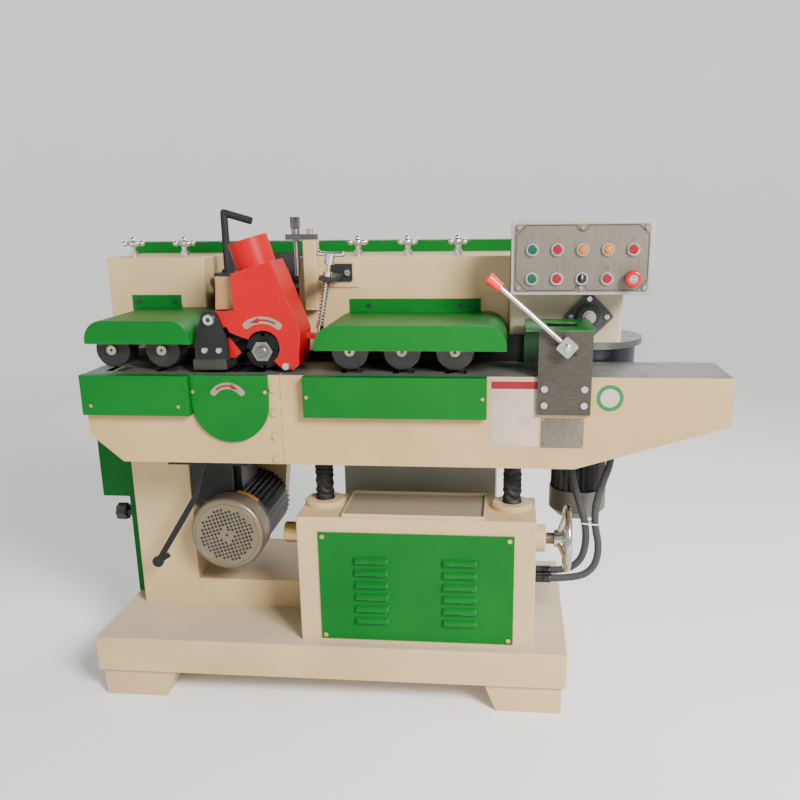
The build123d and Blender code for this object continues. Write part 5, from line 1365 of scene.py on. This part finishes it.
class STICKMACHINE_OT_fastenings(bpy.types.Operator):
    """Turned ends, bolts, collars and the wing on the lever, spindle, bearing, pivot and rod"""

    bl_idname = "stickmachine.fastenings"
    bl_label = "Bolts and shaft ends"

    def execute(self, context):
        dome = [
            (0, 5.8), (3.5, 5.6), (6.6, 4.6), (8.6, 2.8), (9.6, 0.6), (11.2, 0.6), (11.2, -0.2),
            (0, -0.2),
        ]
        middle = place(LEVER_X, -29.3, LEVER_Z)
        turned_piece("lever_bolt", dome, middle, zinc_plate(), "infeed_lever", "steel", steps=36)
        across, up = polar(1, math.radians(-41))
        way = Vector((across, 0, up))
        stud = [
            (0, 12.5), (2.1, 12.5), (2.3, 11), (3.8, 11.2), (4.3, 10.4), (4.3, 0.6), (3.6, -0.4),
            (0, -0.4),
        ]
        turned_piece(
            "lever_set_screw", stud, place(LEVER_X, -13, LEVER_Z) + way * 0.019, black_iron(),
            "infeed_lever", "dark_steel", axis=way, steps=28,
        )
        self.spindle_end()
        self.bearing_face()
        self.pivot_collar()
        self.wing()
        return {"FINISHED"}

    def spindle_end(self):
        """The threaded end of the upper spindle, in front of its nut."""
        end = [(0, -0.4), (17.2, -0.4), (17.2, 1), (12.6, 1)]
        for i in range(7):
            rise = 1.6 + 1.25 * i
            end += [(12.2, rise), (11.4, rise + 0.6)]
        end += [(10.8, 11), (3.4, 11.2), (2, 8.8), (0, 8.4)]
        grain = (300.0, 20.0, 300.0)
        steel = named("thread_steel", lambda c: brushed(c, (0.20, 0.19, 0.17), grain, 0.34))
        middle = place(-341, 42, 967)
        turned_piece("spindle_thread", end, middle, steel, "upper_spindle", "steel", steps=44)

    def bearing_face(self):
        """Seal, inner ring and shaft end of the flange bearing."""
        face = [
            (0, 4.5), (3, 4.5), (4.2, 7.8), (10.5, 7.8), (12, 6.4), (12.5, 3), (16.5, 3),
            (17.5, 0.5), (20.5, 0.5), (21.5, 2), (27.5, 2), (28.5, 1), (28.5, -0.4), (0, -0.4),
        ]
        finish = named("bearing_seal", self.seal)
        middle = place(BEARING_X, 224, BEARING_Z)
        turned_piece("bearing_face", face, middle, finish, "frame", "steel", steps=48)

    def seal(self, c):
        ring = plated(c, (0.5, 0.48, 0.44), 0.3)
        within = Where(c).rod(BEARING_X, BEARING_Z, 17.8)
        return zoned(c, casting(c, (0.03, 0.03, 0.03)), (within, ring))

    def pivot_collar(self):
        """A round collar with a six-sided hole on the hood's pivot."""
        outer, hole, high, ease, sunk, steps = 0.0128, 0.0062, 0.0024, 0.0006, 0.0002, 48
        centre = place(PIVOT_X, 20, PIVOT_Z)
        points = []
        for i in range(steps):
            a = 2 * math.pi * i / steps
            flat = hole * math.cos(math.pi / 6) / math.cos(a % (math.pi / 3) - math.pi / 6)
            rows = (
                (outer, sunk), (outer, -high + ease), (outer - ease, -high), (flat, -high),
                (flat, sunk),
            )
            for radius, y in rows:
                x, z = polar(radius, a)
                points.append(centre + Vector((x, y, z)))
        mesh = mesh_of([(points, quads(steps, 5, True, True))])
        piece_of("pivot_collar", mesh, bright_plate(), "head")

    def wing(self):
        """The bowed wing on top of the tension rod, thicker towards its tips."""
        half_steps, cap = 20, 0.16
        path, radii = [], []
        for i in range(2 * half_steps + 1):
            t = -1 + i / half_steps
            tip = math.sqrt(max(0.0, 1 - max(0.0, (abs(t) - (1 - cap)) / cap) ** 2))
            path.append(place(-177.75 + 37 * t, 140, 1197.2 - 2.2 * t + 2.4 * t * t))
            radii.append((0.0053 + 0.0022 * abs(t) ** 3) * max(tip, 0.05))
        mesh = mesh_of([sweep(path, radii, 20)])
        piece_of("rod_wing", mesh, bright_plate(), "spring_rod", sharp=60)


class STICKMACHINE_OT_rear_strips(bpy.types.Operator):
    """Table fences, rear cover's lip, spring bracket's pad and skirt of the head's slideway"""

    bl_idname = "stickmachine.rear_strips"
    bl_label = "Fences, lip, pad and skirt"

    def execute(self, context):
        grain = (14.0, 300.0, 60.0)
        # the fences and the skirt are near-black steel, darker than the other steel: partly
        # painted shade for the dark gaps behind the rollers and the bed
        steel = named(
            "fence_steel", lambda c: brushed(c, (0.022, 0.021, 0.019), grain, 0.45, 0.7)
        )
        fence = [(-288, 890), (340, 890), (340, 984), (254, 984), (240, 940), (-288, 940)]
        ledge = box_outline((-790, -548), (914.1, 944))
        lip = box_outline((-864, 296), (1172, 1211.5))
        pad = [(-224, 1101), (-135, 1101), (-135, 1176), (-224, 1176)]
        pad += [(-224, 1163.5), (-151.4, 1163.5), (-151.4, 1118.8), (-224, 1118.8)]
        skirt = [(-560, 845), (-470, 845), (-462, 868), (-302, 868), (-302, 905.8), (-560, 905.8)]
        for name, outline, front, back, edge, finish, body, slot in (
            ("infeed_fence", fence, 227.2, 237, 0.8, steel, "table", "dark_steel"),
            ("outfeed_fence", ledge, 226, 231.4, 0.8, steel, "table", "dark_steel"),
            ("rear_cover_lip", lip, 543.3, 545.5, 0, green_paint(), "frame", "green_paint"),
            ("bracket_pad", pad, 293, 297, 0.8, cream_paint(), "frame", "cream_paint"),
            ("slide_skirt", skirt, 501, 512, 0.8, steel, "frame", "dark_steel"),
        ):
            piece_of(name, plate(outline, front, back, edge), finish, body)
        return {"FINISHED"}


class STICKMACHINE_OT_panel_parts(bpy.types.Operator):
    """Line, marks and lenses on the control box's front plate"""

    bl_idname = "stickmachine.panel_parts"
    bl_label = "Control panel"

    def execute(self, context):
        self.border()
        self.marks()
        lens = named(
            "amber_lens", lambda c: moulded(c, colours().lamp, 0.14), coat=0.6, coat_rough=0.05
        )
        dome = [
            (0, 3.8), (3, 3.6), (4.5, 3.8), (6.2, 3.1), (7.5, 3.2), (9.4, 2), (10.4, 0.4),
            (10.4, -0.8), (0, -0.8),
        ]
        domes = [turned(dome, place(x, 86, HIGH_ROW), steps=36) for x in LAMPS_X]
        piece_of("lamp_lenses", mesh_of(domes), lens, "frame", sharp=30)
        self.stop_face()
        x = BUTTONS_X[2]
        bar = plate(rounded((x - 1, x + 1), (LOW_ROW, LOW_ROW + 9.4), 0.6, 2), 78.6, 79.1)
        white = named("white_mark", lambda c: paper(c, (0.8, 0.79, 0.76)))
        piece_of("selector_mark", bar, white, "selector_switch")
        return {"FINISHED"}

    def border(self):
        """The printed frame line with cut corners and a bow round each middle screw."""
        left, right, low, high = 284.0, 596.0, 1111.0, 1263.0
        cut, bow, middle = 24.0, 14.0, 440.0
        half_width, thick, bow_steps, least = 1.15, 0.3, 8, 0.4
        arc = [math.pi * i / bow_steps for i in range(1, bow_steps)]
        line = [(left + cut, high), (middle - bow, high)]
        line += [polar(bow, math.pi + a, middle, high) for a in arc]
        line += [(middle + bow, high), (right - cut, high), (right, high - cut)]
        line += [(right, low + cut), (right - cut, low), (middle + bow, low)]
        line += [polar(bow, a, middle, low) for a in arc]
        line += [(middle - bow, low), (left + cut, low), (left, low + cut), (left, high - cut)]
        points = []
        for i, here in enumerate(Vector(p) for p in line):
            one = (here - Vector(line[i - 1])).normalized()
            two = (Vector(line[(i + 1) % len(line)]) - here).normalized()
            lean = (one + two).normalized()
            side = Vector((-lean.y, lean.x))
            side *= half_width / max(least, side.dot(Vector((-one.y, one.x))))
            back, front = PANEL_FRONT, PANEL_FRONT - thick
            inside, outside = here + side, here - side
            for (x, z), y in (
                (inside, back), (inside, front), (outside, front), (outside, back)
            ):
                points.append(place(x, y, z))
        mesh = mesh_of([(points, quads(len(line), 4, True, True))])
        piece_of("panel_line", mesh, dark_print(), "frame")

    def marks(self):
        """A bar over each start button and a ring over each stop button."""
        start, stop, _, feed, power = BUTTONS_X
        half, thick = 0.8, 0.25
        shapes = []
        for z in (LOW_ROW, HIGH_ROW):
            bar = rounded((start - half, start + half), (z + 21, z + 28), 0.5, 2)
            shapes.append(plate(bar, PANEL_FRONT - thick, PANEL_FRONT))
        ring = box_outline((2.6, 3.6), (0, thick))
        for x, z in ((stop, LOW_ROW), (feed, LOW_ROW), (stop, HIGH_ROW), (power, HIGH_ROW)):
            middle = place(x, PANEL_FRONT, z + 24.5)
            shapes.append(mesh_of([turned(ring, middle, steps=28, closed=True)]))
        piece_of("panel_marks", joined(*shapes), dark_print(), "frame")

    def stop_face(self):
        """Turn-to-release ring with two plain arrows on the mushroom's face."""
        x, front = BUTTONS_X[4], 67
        disc = [(0, 0.9), (8.2, 0.9), (9.5, 0.5), (9.8, -0.2), (0, -0.2)]
        grey = named("grey_insert", lambda c: moulded(c, (0.30, 0.30, 0.31), 0.3))
        middle = place(x, front, LOW_ROW)
        turned_piece("stop_insert", disc, middle, grey, "emergency_stop", "red_button")
        outlines = [bent_arrow((x, LOW_ROW), 5.4, 1.5, a, a + 130) for a in (20, 200)]
        arrows = [plate(outline, front - 1.15, front - 0.85) for outline in outlines]
        piece_of("stop_arrows", joined(*arrows), dark_print(), "emergency_stop")


class STICKMACHINE_OT_labels(bpy.types.Operator):
    """Bare plates on the bed, and the two plates with a plain arrow"""

    bl_idname = "stickmachine.labels"
    bl_label = "Bare plates and arrows"

    def execute(self, context):
        grain = (500.0, 20.0, 40.0)
        tin = named(
            "plate_tin", lambda c: brushed(c, (0.17, 0.15, 0.115), grain, 0.42, 0.8, 0.5)
        )
        film = named("white_film", lambda c: paper(c, colours().paper))
        ink = named("red_film", lambda c: paper(c, (0.20, 0.001, 0.006)))
        tag = named("grey_film", lambda c: paper(c, (0.24, 0.19, 0.135)))
        green = named("green_film", lambda c: paper(c, (0.004, 0.15, 0.035)))
        name_plate = plate(rounded((351.5, 455), (738, 813), 2), 14, BED_FRONT, 0.3)
        piece_of("bare_name_plate", name_plate, tin, "table")
        label = plate(rounded((228, 345), (741, 905), 1.5), 14.7, BED_FRONT, 0.1)
        piece_of("bare_label", label, film, "table")
        band = plate(rounded((230, 343), (884, 902.5), 1), 14.5, 14.75)
        piece_of("bare_label_band", band, ink, "table")
        x, z = 514, 863.5
        piece_of("round_label", plate(circle(x, z, 25), 14.7, BED_FRONT), film, "table")
        ring, middle = box_outline((22.8, 32.2), (0, 0.6)), place(x, BED_FRONT, z)
        turned_piece("round_label_ring", ring, middle, green, "table", steps=56, closed=True)
        for body, name, middle, front, inner, outer, strip, arrow in (
            ("table", "cover_arrow", (-424, 842), 4.6, 37.5, 53.5, (142, 38), (130, 50)),
            ("hood", "hood_arrow", (-336, 978), 39.6, 58.5, 76.5, (52, 126), (60, 118)),
        ):
            under = plate(ring_band(middle, inner, outer, *strip), front, front + 0.45)
            piece_of(name + "_plate", under, tag, body)
            bent = bent_arrow(middle, (inner + outer) / 2, 4.8, *arrow)
            piece_of(name, plate(bent, front - 0.2, front + 0.05), ink, body)
        return {"FINISHED"}


class STICKMACHINE_OT_hood_trim(bpy.types.Operator):
    """Flap, chip guard and weld seam of the cutter hood"""

    bl_idname = "stickmachine.hood_trim"
    bl_label = "Hood trim"

    def execute(self, context):
        self.flap()
        guard = [(-446, 948.8), (-414, 948.8), (-399, 961), (-428, 1001), (-437, 990)]
        piece_of("chip_guard", plate(guard, 60, 62.5, 0.4), red_paint(), "head")
        lean, steps = math.radians(16.7), 60
        way = Vector((-math.sin(lean), 0, math.cos(lean)))
        aside = Vector((math.cos(lean) * 0.012, -0.0485, math.sin(lean) * 0.012))
        foot = place(-357, 98, 1172)
        weld, bead = [], []
        for i in range(steps + 1):
            weld.append(foot + way * (0.006 + 0.060 * i / steps) + aside)
            bead.append(0.0011 + 0.0004 * math.sin(i * 2.4))
        seam = mesh_of([sweep(weld, bead, 8)])
        piece_of("port_seam", seam, red_paint(), "hood", sharp=80)
        return {"FINISHED"}

    def flap(self):
        """A bowed board with two sides and a rim."""
        rows, columns, thick = 11, 7, 1.6
        layer = rows * columns
        points, faces = [], []
        for side in (0, 1):
            for i in range(layer):
                u, v = i // columns / (rows - 1), i % columns / (columns - 1)
                x = -401 - 55 * v - 5 * u * v
                z = 1149 - 78 * u - 3 * v * u
                y = 62 + 7 * v * v + 3 * math.sin(math.pi * u) * v + thick * side
                points.append(place(x, y, z))
            faces += [[p + side * layer for p in face] for face in quads(rows, columns)]
        rim = list(range(0, layer - columns, columns))
        rim += range(layer - columns, layer - 1)
        rim += range(layer - 1, columns - 1, -columns)
        rim += range(columns - 1, 0, -1)
        faces += [(a, b, b + layer, a + layer) for a, b in zip(rim, rim[1:] + rim[:1])]
        board = named("tan_board", lambda c: paper(c, colours().tan))
        piece_of("chip_flap", mesh_of([(points, faces)]), board, "hood")


class STICKMACHINE_OT_screws(bpy.types.Operator):
    """Screws and rivets of the hood, its bracket, the bare name plate and the control panel"""

    bl_idname = "stickmachine.screws"
    bl_label = "Screws"

    def execute(self, context):
        slot_share = 0.24
        cross = screw_growth(zinc_plate())
        rivets = [(x, 14.1, z) for x in (356, 450.5) for z in (742.5, 808.5)]
        panel = [(x, PANEL_FRONT + 0.05, z) for x in (290, 440, 590) for z in (1117, 1257)]
        for name, body, spots, radius, height in (
            ("hood_screw", "hood", [(-281, 40.1, 931.5)], 0.0118, 0.0050),
            ("bracket_screws", "head", [(-483, 28.1, 972), (-446, 28.1, 972)], 0.0092, 0.0040),
            ("plate_rivets", "table", rivets, 0.0019, 0.0011),
            ("panel_screws", "frame", panel, 0.0056, 0.0060),
        ):
            seed = spots_mesh([place(*spot) for spot in spots])
            mesh = cross.grow(seed, Radius=radius, Height=height, Slot=radius * slot_share)
            piece_of(name, mesh, None, body, sharp=25)
        return {"FINISHED"}


class STICKMACHINE_PT_panel(bpy.types.Panel):
    """Settings of the machine and a button for each group of pieces"""

    bl_label = "Stick Machine"
    bl_idname = "STICKMACHINE_PT_panel"
    bl_space_type = "VIEW_3D"
    bl_region_type = "UI"
    bl_category = "Stick Machine"

    def draw(self, context):
        for group in (colours(), sizes(), stage_settings()):
            box = self.layout.box()
            for key in group.__annotations__:
                box.prop(group, key)
        for operator in OPERATORS:
            self.layout.operator(operator.bl_idname)


GROUPS = (StickMachineColours, StickMachineSizes, StickMachineStage)
OPERATORS = (
    STICKMACHINE_OT_stage,
    STICKMACHINE_OT_conduits,
    STICKMACHINE_OT_paint,
    STICKMACHINE_OT_boots,
    STICKMACHINE_OT_spring,
    STICKMACHINE_OT_grille,
    STICKMACHINE_OT_louvres,
    STICKMACHINE_OT_roller_caps,
    STICKMACHINE_OT_fastenings,
    STICKMACHINE_OT_rear_strips,
    STICKMACHINE_OT_panel_parts,
    STICKMACHINE_OT_labels,
    STICKMACHINE_OT_hood_trim,
    STICKMACHINE_OT_screws,
)
CLASSES = (*GROUPS, *OPERATORS, STICKMACHINE_PT_panel)


def register():
    for one in CLASSES:
        bpy.utils.register_class(one)
    bpy.types.Scene.stick_machine_colours = PointerProperty(type=StickMachineColours)
    bpy.types.Scene.stick_machine_sizes = PointerProperty(type=StickMachineSizes)
    bpy.types.Scene.stick_machine_stage = PointerProperty(type=StickMachineStage)


def unregister():
    del bpy.types.Scene.stick_machine_stage
    del bpy.types.Scene.stick_machine_sizes
    del bpy.types.Scene.stick_machine_colours
    for one in reversed(CLASSES):
        bpy.utils.unregister_class(one)


def main():
    register()
    for operator in OPERATORS:
        group, name = operator.bl_idname.split(".")
        getattr(getattr(bpy.ops, group), name)()


if __name__ == "__main__":
    main()
